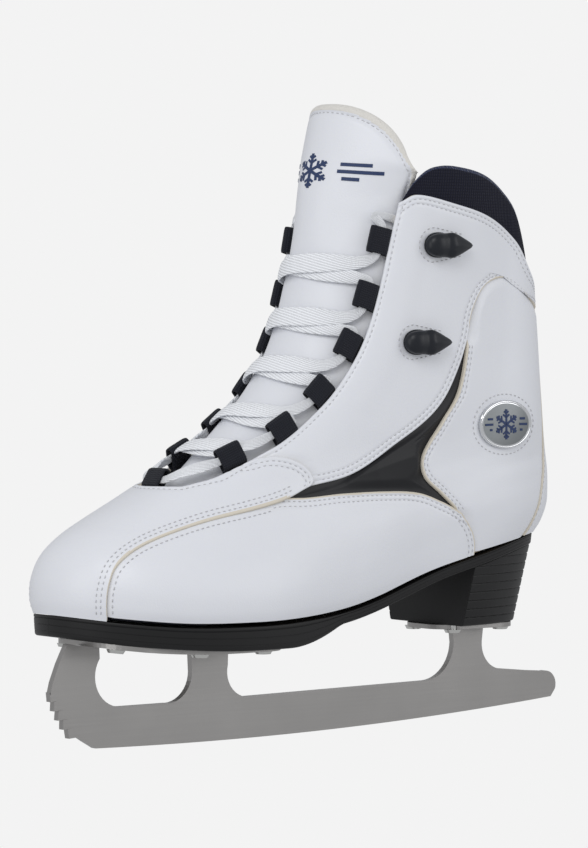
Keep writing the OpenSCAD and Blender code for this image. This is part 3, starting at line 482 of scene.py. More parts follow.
def seam(piece, g, d, name, r, off, keep):
    """A row of stitches at distance r inside a panel's edge, where keep allows it."""
    chan = np.concatenate([g, off[..., None], keep[..., None]], -1)
    if name[0] == "u":
        chan, d = chan.swapaxes(0, 1), d.swapaxes(0, 1)
    if name[1] == "1":
        chan, d = chan[:, ::-1], d[:, ::-1]
    i = np.arange(len(d))
    j = np.clip((d < r).sum(1), 1, d.shape[1] - 1)
    w = np.clip((r - d[i, j - 1]) / np.maximum(d[i, j] - d[i, j - 1], 1e-9), 0, 1)[:, None]
    row = chan[i, j - 1] + w * (chan[i, j] - chan[i, j - 1])
    good = row[:, 5] > 0.5
    for part in np.split(row, np.flatnonzero(np.diff(good)) + 1):
        if len(part) > 3 and part[0, 5] > 0.5:
            stitch_line(piece, part, part[:, 4])


# How far a panel sinks below the piece over it, and over what width
SINK, SINK_OVER = 1.5, 8
BEVEL_DEPTH = 0.62
GROOVE_HALF = 0.42
LEAST_T = 0.6
# How near its other edges a row of stitches stops: inside their first row, where the panel
# goes under another piece, and elsewhere
ROW_STOP = (0.3, 5, 0.8)


def panel(name, grid, height, edges, nodes, sewing, tuck=(), bare=(), cream=None, n=(70, 40), lift=None):
    """A leather panel: a grid of angles and levels raised to its height, less a rounded
    bevel at its edges and a groove under each seam. An edge is "cut" (raw and cream),
    "fold" (white), "under" (sinks below the piece over it) or "plain", with the distances
    of its rows of stitches. tuck gives, for an edge, where along it the panel sinks, and
    bare where it has no bevel and no stitches."""
    s = sizes()
    edges = {k: edges.get(k, ("plain", ())) for k in ("u0", "u1", "v0", "v1")}
    grid = respaced(grid, near(edges["v0"][1]), near(edges["v1"][1]), n[1])
    grid = respaced(grid.swapaxes(0, 1), near(edges["u0"][1]), near(edges["u1"][1]), n[0]).swapaxes(0, 1)
    a, l = grid[..., 0], grid[..., 1]
    dist = edge_distances(skin(a, l))
    h = np.full(a.shape, float(height))
    if lift is not None:
        h = h + lift(grid)
    pale = np.zeros(a.shape)
    hidden = {k: np.full(a.shape, float(kind == "under")) for k, (kind, _) in edges.items()}
    hidden.update({k: f(grid) for k, f in dict(tuck).items()})
    shown_at = {k: 1 - hidden[k] for k in edges}
    for k, f in dict(bare).items():
        shown_at[k] = shown_at[k] * (1 - f(grid))
    for k, (kind, rows) in edges.items():
        d, shown = dist[k], shown_at[k]
        h = h - SINK * fade(d, SINK_OVER) * hidden[k]
        if kind in ("cut", "fold"):
            w = s.bevel if kind == "cut" else s.bevel * 1.1
            h = h - shown * BEVEL_DEPTH * rounding(d, w)
            if kind == "cut":
                pale = np.maximum(pale, shown * (d < s.bevel) * (1 if cream is None else cream(grid)))
        for r in rows:
            h = h - shown * s.groove * np.exp(-(((d - r) / GROOVE_HALF) ** 2))
    for k, (_, rows) in edges.items():
        for r in rows:
            keep = shown_at[k]
            for other, (kind, rows2) in edges.items():
                if other[0] != k[0]:
                    limit = rows2[0] - ROW_STOP[0] if rows2 else ROW_STOP[1 if kind == "under" else 2]
                    keep = keep * (dist[other] > limit)
            seam(sewing, grid, dist[k], k, r, h, keep)
    mid = (pale[1:, 1:] + pale[:-1, :-1] + pale[1:, :-1] + pale[:-1, 1:]) / 4
    piece = Piece(name)
    cut = any(kind == "cut" for kind, _ in edges.values())
    piece.shell(surf(a, l, h), surf(a, l, np.minimum(h - LEAST_T, -s.leather)),
                index=(mid > 0.4).ravel().astype(int), wall=int(cut))
    return piece.make([leather_mat(), cream_mat()], nodes)


# --- shaders --------------------------------------------------------------------------------
def group(name, inputs, outputs, fill):
    """A shader node group, built once. fill(tree, source, sink) wires it."""
    tree = bpy.data.node_groups.get(name)
    if tree:
        return tree
    tree = bpy.data.node_groups.new(name, "ShaderNodeTree")
    for key, value in inputs:
        tree.interface.new_socket(key, in_out="INPUT", socket_type="NodeSocketFloat").default_value = value
    for key in outputs:
        tree.interface.new_socket(key, in_out="OUTPUT", socket_type="NodeSocketFloat")
    fill(tree, tree.nodes.new("NodeGroupInput").outputs, tree.nodes.new("NodeGroupOutput").inputs)
    return tree


def math_node(tree, operation, *values):
    """A Math node fed by sockets or numbers."""
    node = tree.nodes.new("ShaderNodeMath")
    node.operation = operation
    for k, v in enumerate(values):
        if isinstance(v, (int, float)):
            node.inputs[k].default_value = v
        else:
            tree.links.new(v, node.inputs[k])
    return node.outputs[0]


def grain_group():
    """Grain: fine cells over a slow rise and fall, and a slow change of tone."""

    def fill(t, source, sink):
        co = t.nodes.new("ShaderNodeTexCoord").outputs["Object"]
        cells = t.nodes.new("ShaderNodeTexVoronoi")
        cells.feature = "SMOOTH_F1"
        slow = t.nodes.new("ShaderNodeTexNoise")
        slow.inputs["Detail"].default_value = 2
        for node, key in ((cells, "Cells"), (slow, "Waves")):
            t.links.new(co, node.inputs["Vector"])
            t.links.new(source[key], node.inputs["Scale"])
        fine = math_node(t, "MULTIPLY", cells.outputs["Distance"], source["Fine"])
        wide = math_node(t, "MULTIPLY", slow.outputs["Fac"], source["Wide"])
        t.links.new(math_node(t, "ADD", fine, wide), sink["Height"])
        t.links.new(slow.outputs["Fac"], sink["Tone"])

    inputs = (("Cells", 1500), ("Waves", 30), ("Fine", 0.3), ("Wide", 2))
    return group("Grain", inputs, ("Height", "Tone"), fill)


def weave_group():
    """Weave: the product of two sets of ribs, each a sine of a sum of the piece's own
    coordinates along and across. The materials also darken the colour where this height
    is low, in the hollows between the ribs, as painted shade."""

    def fill(t, source, sink):
        split = t.nodes.new("ShaderNodeSeparateXYZ")
        t.links.new(t.nodes.new("ShaderNodeUVMap").outputs[0], split.inputs[0])

        def ribs(along, over):
            total = math_node(t, "ADD", math_node(t, "MULTIPLY", split.outputs[0], source[along]),
                              math_node(t, "MULTIPLY", split.outputs[1], source[over]))
            return math_node(t, "ABSOLUTE", math_node(t, "SINE", math_node(t, "MULTIPLY", total, 3.14159)))

        one, two = ribs("Along 1", "Across 1"), ribs("Along 2", "Across 2")
        rest = math_node(t, "SUBTRACT", 1, source["Cross"])
        soft = math_node(t, "MULTIPLY_ADD", two, source["Cross"], rest)
        t.links.new(math_node(t, "MULTIPLY", one, soft), sink["Height"])

    inputs = (("Along 1", 1), ("Across 1", 0), ("Along 2", 0), ("Across 2", 1), ("Cross", 0.5))
    return group("Weave", inputs, ("Height",), fill)


def brush_group():
    """Brush: long fine scratches along the skate, and slow blotches."""

    def fill(t, source, sink):
        co = t.nodes.new("ShaderNodeTexCoord").outputs["Object"]
        stretch = t.nodes.new("ShaderNodeMapping")
        stretch.inputs["Scale"].default_value = (12, 900, 900)
        t.links.new(co, stretch.inputs["Vector"])
        lines, blots = t.nodes.new("ShaderNodeTexNoise"), t.nodes.new("ShaderNodeTexNoise")
        lines.inputs["Scale"].default_value = 1
        blots.inputs["Scale"].default_value = 35
        t.links.new(stretch.outputs[0], lines.inputs["Vector"])
        t.links.new(co, blots.inputs["Vector"])
        t.links.new(math_node(t, "MULTIPLY", lines.outputs["Fac"], source["Depth"]), sink["Height"])
        t.links.new(blots.outputs["Fac"], sink["Tone"])

    return group("Brush", (("Depth", 1),), ("Height", "Tone"), fill)


def material(name, tint, rough, metal=0.0, tree=None, values=(), bump=0.0, tone_and_weave_shade=0.0, darker=0.85, **more):
    """A material with one Principled shader. Its group gives the bump's height, and a tone
    or a height that mixes the tint with a darker one; a height makes the colour darker in
    the hollows, as painted shade. More sockets are named with _ for a space."""
    mat = bpy.data.materials.get(name)
    if mat:
        return mat
    mat = bpy.data.materials.new(name)
    mat.use_nodes = True
    t = mat.node_tree
    shader = t.nodes["Principled BSDF"]
    shader.inputs["Base Color"].default_value = (*tint, 1)
    shader.inputs["Roughness"].default_value = rough
    shader.inputs["Metallic"].default_value = metal
    for key, value in more.items():
        shader.inputs[key.replace("_", " ")].default_value = value
    if tree is None:
        return mat
    g = t.nodes.new("ShaderNodeGroup")
    g.node_tree = tree
    for key, value in values:
        g.inputs[key].default_value = value
    if bump:
        b = t.nodes.new("ShaderNodeBump")
        b.inputs["Strength"].default_value = 1
        b.inputs["Distance"].default_value = bump * MM
        t.links.new(g.outputs["Height"], b.inputs["Height"])
        t.links.new(b.outputs["Normal"], shader.inputs["Normal"])
    if tone_and_weave_shade:
        mix = t.nodes.new("ShaderNodeMix")
        mix.data_type = "RGBA"
        # Without a Tone output the height is used, so the colour is darker in the hollows of the weave:
        # painted shade.
        source = g.outputs["Tone"] if "Tone" in g.outputs else g.outputs["Height"]
        mix.inputs[6].default_value = (*(c * darker for c in tint), 1)
        mix.inputs[7].default_value = (*tint, 1)
        t.links.new(math_node(t, "MULTIPLY_ADD", source, tone_and_weave_shade, 1 - tone_and_weave_shade), mix.inputs[0])
        t.links.new(mix.outputs[2], shader.inputs["Base Color"])
    return mat


def leather_mat():
    """Smooth coated leather with a faint grain."""
    return material("Leather", colours().white, 0.42, tree=grain_group(), bump=0.16, tone_and_weave_shade=0.35,
                    values=(("Cells", 1700), ("Waves", 38), ("Fine", 0.25), ("Wide", 2.6)), darker=0.93,
                    Coat_Weight=0.12, Coat_Roughness=0.3, Subsurface_Weight=0.04,
                    Subsurface_Radius=(0.003, 0.003, 0.004))


def cream_mat():
    """The raw cut edge of the leather."""
    return material("Leather edge", colours().cream, 0.8, tree=grain_group(), bump=0.1,
                    values=(("Cells", 2500), ("Waves", 300)))


def thread_mat():
    """Sewing thread."""
    return material("Thread", colours().thread, 0.6)


def cloth_mat(name, tint, pitch=1.0, bump=0.3, rough=0.85, tone_and_weave_shade=0.4):
    """Woven cloth, darker in the hollows of its weave as painted shade; the piece's own coordinates are in
    centimetres.
    """
    rate = 10 / pitch
    return material(name, tint, rough, tree=weave_group(), bump=bump, tone_and_weave_shade=tone_and_weave_shade, darker=0.35,
                    values=(("Along 1", rate), ("Across 2", rate), ("Cross", 0.8)), Sheen_Weight=0.05,
                    Specular_IOR_Level=0.25)


def plastic_mat(name, tint, rough=0.35, waves=60, wide=0.5):
    """Moulded plastic with a slow unevenness."""
    return material(name, tint, rough, tree=grain_group(), bump=0.1, tone_and_weave_shade=0.4,
                    values=(("Cells", 1800), ("Waves", waves), ("Fine", 0.12), ("Wide", wide)), darker=0.75,
                    Specular_IOR_Level=0.32)


def metal_mat(name, tint, rough=0.33, depth=0.5):
    """Brushed metal."""
    return material(name, tint, rough, 1.0, tree=brush_group(), bump=0.02, tone_and_weave_shade=0.5,
                    values=(("Depth", depth),), darker=0.72)


# --- outlines, as side-view points (x, z) on the outer side ---------------------------------
THROAT = [(-20, 230), (-16, 213), (-8.6, 185.5), (1.8, 162), (17.9, 142.4), (38.8, 126.6), (52.5, 120.4)]
QUARTER_TOP = [(-20, 230), (-27, 233.5), (-47, 230), (-70, 224), (-87, 214), (-98.5, 200), (-111.3, 189)]
EAR_END = [(52.5, 120.4), (44, 119), (36, 116.8), (31.5, 113.6), (29.6, 111), (31, 108.6)]
QUARTER_FOOT = [
    (-111.3, 189), (-111.2, 184), (-100, 187), (-90, 194.8), (-79, 198), (-67, 194.5), (-59.5, 184),
    (-56, 170), (-51, 158), (-37, 139), (-17, 126), (5, 114), (31, 108.6),
]
COUNTER_TOP = [(-111.6, 186.5), (-99.5, 190.5), (-89, 199), (-79, 202), (-67, 198), (-57, 184)]
COUNTER_FRONT = [
    (-57, 184), (-56.5, 170), (-51.5, 148), (-43, 136), (-33, 122), (-33, 112), (-42, 104),
    (-51, 96), (-56, 87), (-58, 77),
]
INSERT_TOP = [
    (-57, 176), (-52, 162), (-43, 150), (-34, 142), (-15, 129), (6, 117), (26, 111), (46, 107),
]
INSERT_BACK = [
    (-57, 176), (-56, 150), (-48, 137), (-38, 123), (-37, 117), (-38, 111), (-46, 102.5), (-57, 92),
]
INSERT_FOOT = [(-57, 92), (-43, 97), (-30, 101), (-12, 102.5), (10, 102.5), (28, 101), (46, 99.5)]
PANEL_BACK = [(-62.5, 77), (-60, 87), (-53, 95.5)]
PANEL_TOP = [
    (-53, 95.5), (-43, 100.3), (-30, 104.8), (-12, 106), (10, 105.8), (30, 104.6), (44, 104.6),
    (62, 101.6), (82, 97.6), (108.5, 89.5),
]
PANEL_FRONT = [(127, 58), (127.5, 68), (123.5, 79.6), (108.5, 89.5)]
VAMP_LINE = [(26.8, 109.3), (44, 102.6), (82, 94.6), (107, 86.8), (119.8, 78.6), (124.3, 69), (124, 58)]
VAMP_THROAT = [(50.8, 120.4), (60.6, 116.2), (69, 112.9), (81, 109.6)]
VAMP_EAR = [(50.8, 120.4), (42, 121.6), (33.6, 119.9), (27.8, 116.1), (25.6, 111.8), (26.8, 109.3)]
THROAT_FRONT_L = 56.5


def stay_a(l):
    """Half-angle of the backstay at a level."""
    return 27 + 6 * fade(l, 60) - 2 * np.clip(np.subtract(l, 100), 0, 60) / 60


def side_view(g):
    """Side-view x and z of a panel's grid, whichever side it is on."""
    p = skin(g[..., 0], g[..., 1])
    return p[..., 0], p[..., 2]


def soft_step(x, at, over):
    """0 before a place and 1 after it."""
    return 1 - fade(x - at + over / 2, over)


def quarter_grid():
    """The quarter: from the throat's edge to its lower edge, collar to ear."""
    return coons(places(THROAT), places(QUARTER_FOOT), places(QUARTER_TOP), places(EAR_END))


def counter_grid():
    """The counter: from under the backstay to its front edge, dome to sole."""
    front, top = places(COUNTER_FRONT), places(COUNTER_TOP)
    l0 = top[0, 2]
    levels = np.linspace(l0, LOW_L, 9)
    back = by_length(np.column_stack([stay_a(levels) + (top[0, 1] - stay_a(l0)), levels]))
    foot = by_length([back[-1, 1:], front[-1, 1:]])
    return coons(back, front, top, foot)


def panel_grid():
    """The side panel: from the sole to its top edge, arch to toe."""
    back, front = places(PANEL_BACK), places(PANEL_FRONT)
    sole = by_length([(back[0, 1], LOW_L), (front[0, 1], LOW_L)])
    return coons(sole, places(PANEL_TOP), back, front, 301, 101)


def insert_grid():
    """The insert: from below the quarter to below the side panel."""
    end = by_length([place(INSERT_TOP[-1]), place(INSERT_FOOT[-1])])
    return coons(places(INSERT_TOP), places(INSERT_FOOT), places(INSERT_BACK), end)


def vamp_grid():
    """The vamp: a band from the outer ear round the toe to the inner ear. One of its long
    edges follows the throat to its lowest point at the front, the other the vamp line and
    then the sole."""
    u, v = np.meshgrid(np.linspace(0, 1, 221), np.linspace(0, 1, 101), indexing="ij")
    throat, line, ear = places(VAMP_THROAT), places(VAMP_LINE), places(VAMP_EAR)
    w = np.clip((u - 0.7) / 0.3, 0, 1)[..., None]
    end = smooth(throat, np.array([1.0]))[0]
    p = smooth(throat, np.clip(u / 0.7, 0, 1))
    p = np.where(w > 0, end + (np.array([180, THROAT_FRONT_L]) - end) * w, p)
    w2 = np.clip((u - 0.68) / 0.32, 0, 1)
    last = smooth(line, np.array([1.0]))[0]
    q = smooth(line, np.clip(u / 0.68, 0, 1))
    low = np.stack([last[0] + (180 - last[0]) * w2, np.full_like(u, LOW_L)], -1)
    q = np.where(w2[..., None] > 0, low, q)
    e = smooth(ear, v)
    ends = smooth(ear, np.array([0.0, 1.0]))
    straight = (1 - v[..., None]) * ends[0] + v[..., None] * ends[1]
    al = (1 - v[..., None]) * p + v[..., None] * q + ((1 - u) ** 6)[..., None] * (e - straight)
    half = np.concatenate([al, u[..., None] / 2, v[..., None]], -1)
    other = across(half[-2::-1], -1)
    other[..., 2] = 1 - other[..., 2]
    return np.concatenate([half, other])


class SKATE_OT_leather(bpy.types.Operator):
    """Vamp, side panels, quarters, counters and backstay with bevelled edges and seams"""

    bl_idname = "skate.leather"
    bl_label = "Leather"

    def execute(self, context):
        lap = sizes().lap
        sewing = Piece("upper_stitching")

        def ear_rise(x):
            return 0.9 * fade(x - 38, 32)

        def ear_lift(g):
            return ear_rise(side_view(g)[0]) * (g[..., 1] > 20)

        def on_sole(g):
            return (np.abs(g[..., 2] - 0.5) < 0.165).astype(float)

        panel("vamp_leather", vamp_grid(), lap, {
            "v0": ("fold", (2.1,)), "v1": ("cut", ()),
            "u0": ("fold", (2.0, 4.0)), "u1": ("fold", (2.0, 4.0)),
        }, ["vamp"], sewing, bare={"v1": on_sole}, n=(150, 46), lift=ear_lift,
            cream=lambda g: side_view(g)[0] > 40)
        for name, side in SIDES:
            panel(f"side_panel_{name}_leather", across(panel_grid(), side), 0, {
                "v1": ("cut", (1.7, 3.8)), "u0": ("cut", (1.7, 3.8)), "u1": ("under", ()),
            }, [f"side_panel_{name}"], sewing, n=(130, 50),
                bare={"v1": lambda g: soft_step(side_view(g)[0], 48, 6)},
                lift=lambda g: 1.9 * fade(side_view(g)[0] + 58, 30))
            panel(f"quarter_{name}_leather", across(quarter_grid(), side), lap, {
                "v0": ("fold", (2.0,)), "v1": ("cut", (1.6, 3.6)),
                "u0": ("fold", (1.8, 3.8)), "u1": ("under", ()),
            }, [f"quarter_{name}"], sewing, n=(110, 56), cream=lambda g: side_view(g)[0] < -57)
            panel(f"counter_{name}_leather", across(counter_grid(), side), lap, {
                "v1": ("cut", (1.5, 3.2)), "v0": ("under", ()), "u0": ("under", ()),
            }, [f"counter_{name}"], sewing, n=(110, 56),
                tuck={"v1": lambda g: np.maximum(soft_step(side_view(g)[1], 170, 6),
                                                 1 - soft_step(side_view(g)[1], 96, 5))})
            line = smooth(places(VAMP_LINE), np.linspace(0.14, 0.995, 240))
            stitch_line(sewing, across(beside(line, 2.3), side), 0.1)
            line = smooth(places(VAMP_LINE), np.linspace(0.06, 0.995, 260))
            for inside in (2.4, 4.4):
                row = beside(line, -inside)
                rise = ear_rise(skin(row[:, 0], row[:, 1])[:, 0])
                stitch_line(sewing, across(row, side), lap + 0.05 + rise)
        top_l = place(QUARTER_TOP[-1])[1] + 8
        u, v = np.meshgrid(np.linspace(0, 1, 161), np.linspace(0, 1, 81), indexing="ij")
        low_l = LOW_L + 0.7
        l = low_l + (top_l - low_l) * u
        stay = np.stack([stay_a(l) * (2 * v - 1), l, u, v], -1)
        panel("backstay_leather", stay, lap + 0.15, {
            "v0": ("cut", (1.6,)), "v1": ("cut", (1.6,)), "u1": ("cut", (1.6,)),
        }, ["backstay"], sewing, n=(90, 40))
        sewing.make([thread_mat()], sharp=180)
        return {"FINISHED"}


class SKATE_OT_insert(bpy.types.Operator):
    """Moulded inserts between quarter, counter and side panel, with a ridge along the middle"""

    bl_idname = "skate.insert"
    bl_label = "Inserts"

    def execute(self, context):
        for name, side in SIDES:
            g = across(respaced(insert_grid(), [0], [0], 60), side)
            d = edge_distances(skin(g[..., 0], g[..., 1]))
            wide = np.minimum(d["v0"] + d["v1"], 26) / 26
            roof = np.clip(1 - np.abs(2 * g[..., 3] - 1.06), 0, 1)
            knee = np.exp(-(((side_view(g)[0] + 27) / 13) ** 2))
            clear = 1 - fade(np.minimum(np.minimum(d["v0"], d["v1"]), d["u0"]) - 4, 5)
            h = -0.6 + clear * (1.7 * wide * roof**0.9 + 0.5 * knee * roof)
            piece = Piece(f"insert_{name}_moulding")
            piece.shell(surf(g[..., 0], g[..., 1], h), surf(g[..., 0], g[..., 1], h * 0 - 1.9))
            dark = plastic_mat("Insert", colours().insert, 0.42)
            piece.make([dark], [f"insert_{name}"], sharp=30)
        return {"FINISHED"}


# --- inside the boot ------------------------------------------------------------------------
BOARD_T = 0.9
GAP = 0.4


def lining_top():
    """Height of the lining's outer face off the surface."""
    return -sizes().leather - GAP - BOARD_T - GAP


COLLAR_LINE = [
    (-21, 231.5), (-27, 239), (-38, 245.5), (-52, 246), (-72, 241.5), (-88, 230), (-100, 211), (-108, 202),
]
COLLAR_DROP = (6, 26)
COLLAR_END_T = 0.42
LINING_THROAT = [
    (81, 109), (63, 113.5), (42, 118.5), (25.5, 126.5), (6.5, 141.5), (-10.5, 162), (-21, 187), (-28, 203),
]
LINING_CREST = [(-28, 203), (-40, 202), (-70, 193), (-90, 180), (-104, 170)]
SEAM_A = 0.4
LINING_T = 2
# The footbed: angle of its ends, inset from the sole's outline, height over the sole's
# upper edge and thickness
FOOTBED_A, FOOTBED_INSET, FOOTBED_UP, FOOTBED_T = 9.3, 8.5, 3.8, 3


def lining_grid():
    """The lining's half: from the toe's ridge and the throat back to the heel's middle."""
    crest = places(LINING_CREST)
    back = crest[-1, 1:]
    ridge = [(180 - SEAM_A, LOW_L), (180 - SEAM_A, 25), (180 - SEAM_A, 48), (176, 56)]
    front = by_length(np.concatenate([ridge, place(LINING_THROAT)]))
    rear = by_length([(SEAM_A, LOW_L), (SEAM_A, back[1])])
    ends = smooth(crest, np.array([0.0, 0.5, 1.0]))
    crown = by_length(np.concatenate([ends, [(SEAM_A, back[1] - 2)]]))
    return coons(front, rear, by_length([(180 - SEAM_A, LOW_L), (SEAM_A, LOW_L)]), crown, 121, 91)


def swell(u, start):
    """Rises from a start at u = 0 to 1 at u = 0.4 and stays there."""
    return start + (1 - start) * (1 - fade(u, 0.4))


def collar_rows(n=120):
    """Angle, level, depth below the rim and share of the thickness round the collar."""
    u = np.linspace(0, 1, n)
    q = smooth(places(COLLAR_LINE), u)
    drop = swell(u, COLLAR_DROP[0] / COLLAR_DROP[1]) * COLLAR_DROP[1]
    half = np.column_stack([q, drop, swell(u, COLLAR_END_T)])
    w = np.linspace(0, 1, 24)[1:, None]
    e = half[-1]
    bridge = np.concatenate([e[0] * (1 - w), e[1] - 1.5 * w, e[2] + 0 * w, e[3] + 0 * w], 1)
    edge = np.concatenate([half, bridge])
    other = edge[-2::-1] * np.array([-1, 1, 1, 1])
    return np.concatenate([edge, other])


class SKATE_OT_lining(bpy.types.Operator):
    """Lining, footbed and the padded collar with its brushed edge"""

    bl_idname = "skate.lining"
    bl_label = "Lining"

    def execute(self, context):
        s = sizes()
        # Lining cloth, darker in the hollows of its weave as painted shade.
        navy = cloth_mat("Lining mesh", colours().lining, 1.3, 0.35, tone_and_weave_shade=0.6)
        for name, side in SIDES:
            g = across(lining_grid(), side)
            a, l = g[..., 0], g[..., 1]
            p = skin(a, l)
            uv = np.stack([run_along(p.swapaxes(0, 1)).T, run_along(p)], -1) / 10
            piece = Piece(f"lining_{name}_cloth")
            top = np.full(a.shape, lining_top())
            piece.shell(surf(a, l, top), surf(a, l, top - LINING_T), uv=uv)
            piece.make([navy], [f"lining_{name}"])
        rows = collar_rows()
        a, l, drop, thick = (rows[:, k, None] for k in range(4))
        th = np.linspace(0, 2 * np.pi, 48, endpoint=False)[None]
        power = 0.55
        c = np.sign(np.cos(th)) * np.abs(np.cos(th)) ** power
        d = np.sign(np.sin(th)) * np.abs(np.sin(th)) ** power
        n = len(rows)
        end = np.minimum(np.arange(n), np.arange(n)[::-1])[:, None] / 5
        close = np.sqrt(np.clip(1 - (1 - np.clip(end, 0, 1)) ** 2, 0.02, 1))
        t = s.collar * thick * close
        mid = -s.leather - GAP - s.collar * thick / 2
        level = l - drop / 2 + drop / 2 * d * (0.6 + 0.4 * close)
        roll = 0.5 * np.exp(-(((th - 1.75) / 0.55) ** 2)) * np.minimum(thick, 1)
        pts = surf(a + 0 * th, level, mid + t / 2 * c + roll)
        step = np.linalg.norm(np.diff(pts[:, 12], axis=0), axis=-1)
        run = np.concatenate([[0], np.cumsum(step)])[:, None] + 0 * th
        uv = np.stack([run, level], -1) / 10
        ring = (th[0] + np.pi / 48) % (2 * np.pi)
        fleece = ((ring > 0.95) & (ring < 2.3)).astype(int)
        piece = Piece("collar_roll")
        piece.tube(pts, index=np.tile(fleece, n - 1), cap=0, uv=uv)
        fuzz = material("Fleece", colours().fleece, 0.95, tree=grain_group(), bump=0.5, tone_and_weave_shade=0.7, darker=0.4,
                        values=(("Cells", 1300), ("Waves", 900), ("Fine", 1.5), ("Wide", 1)),
                        Sheen_Weight=0.3)
        piece.make([navy, fuzz], ["collar_pad"])
        v = np.linspace(-1, 1, 41)[None]
        rows = 90
        angle = np.linspace(FOOTBED_A, 180 - FOOTBED_A, rows)
        left, right = (ring_point(x, FOOTBED_INSET)[:, None] for x in (angle, 360 - angle))
        w = (1 + np.sign(v) * np.abs(v) ** 0.8)[..., None] / 2
        xy = right * (1 - w) + left * w
        base = smooth(FEATHER, xy[..., 0]) + FOOTBED_UP
        ends = np.minimum(np.arange(rows), np.arange(rows)[::-1])[:, None] / 4
        dome = np.sqrt(np.clip(1 - np.abs(v) ** 10, 0.05, 1)) * np.sqrt(np.clip(ends, 0.05, 1))
        top = np.concatenate([xy, (base + FOOTBED_T * dome)[..., None]], -1)
        low = np.concatenate([xy, base[..., None]], -1)
        piece = Piece("footbed_pad")
        piece.shell(top, low, uv=xy / 10)
        piece.make([navy], ["footbed"])
        return {"FINISHED"}


def ring_point(a, inset):
    """Plan position on the sole's outline at an angle, moved in by an inset."""
    p = skin(a, 0.0)[..., :2]
    t = skin(np.add(a, 0.5), 0.0)[..., :2] - skin(np.subtract(a, 0.5), 0.0)[..., :2]
    n = unit(np.stack([-t[..., 1], t[..., 0]], -1))
    return p + n * (0.8 - np.asarray(inset, float))[..., None]


# --- tongue ---------------------------------------------------------------------------------
# Tongue by level: level, half-angle, height over the surface at its middle, thickness
TONGUE_ROWS = [
    (46, 14, -6.6, 3), (56, 19, -6.6, 3.5), (62, 31, -5, 4), (68, 44, -2.4, 4.5), (75, 54, 0.5, 5.5),
    (90, 56, 3.5, 6.5), (112, 57, 5.5, 8), (136, 58, 6.8, 8), (160, 58, 8.2, 8), (180, 56, 10, 8),
    (198, 54, 9.2, 8), (219.5, 48, 8.6, 8),
]
TONGUE_TOP_L = 219.5


def tongue_off(a, l):
    """Height of the tongue's outer face: a cosine crown over its edges' depth."""
    r = smooth(TONGUE_ROWS, l)
    k = (1 + np.cos(np.pi * np.clip(np.abs(np.subtract(a, 180)) / r[..., 0], 0, 1))) / 2
    low, high = lining_top() - LINING_T - 1, -sizes().leather - GAP - sizes().collar - 0.7
    edge = low + (high - low) * (1 - fade(np.subtract(l, 160), 12))
    free = 1 - fade(np.subtract(l, 178), 20)
    return edge * (1 - 0.65 * free) * (1 - k) + r[..., 1] * k


def tongue_point(l, v, depth):
    """A point of the tongue: level, place across from -1 to 1 and share of its depth."""
    r = smooth(TONGUE_ROWS, l)
    a = 180 + v * r[..., 0]
    k = (1 + np.cos(np.pi * v)) / 2
    drop = np.where(l > 190, np.abs(v) ** 3 * (l - 190), 0)
    t = r[..., 2] / 8 * sizes().tongue * (0.45 + 0.55 * k)
    return surf(a, l - drop, tongue_off(a, l) - depth * t)


def snowflake(point, size, piece, lift=0.12, bars=(), index=0):
    """A snowflake of six arms with barbs, and bars beside it, laid on a face given by
    point(s, t), as thin strips."""
    strokes = []
    for k in range(6):
        th = np.radians(60 * k + 30)
        d = np.array([np.cos(th), np.sin(th)])
        strokes.append((0 * d, d * size, 0.085 * size))
        for share, long in ((0.45, 0.34), (0.72, 0.24)):
            for turn in (-1, 1):
                e = np.array([np.cos(th + turn * 0.95), np.sin(th + turn * 0.95)])
                strokes.append((d * size * share, d * size * share + e * size * long, 0.065 * size))
    strokes += [(np.array(b[:2]), np.array(b[2:4]), b[4]) for b in bars]
    for p, q, w in strokes:
        sideways = np.array([-(q - p)[1], (q - p)[0]]) / np.linalg.norm(q - p) * w
        u = np.linspace(0, 1, 9)[:, None, None]
        v = np.linspace(-1, 1, 3)[None, :, None]
        st = np.moveaxis(p + (q - p) * u + sideways * v, -1, 0)
        piece.shell(point(*st, lift), point(*st, -0.25), index, index, index)


TONGUE_EDGE = 3.2
TONGUE_SEAM = 4.3
EMBLEM_L = 189.5


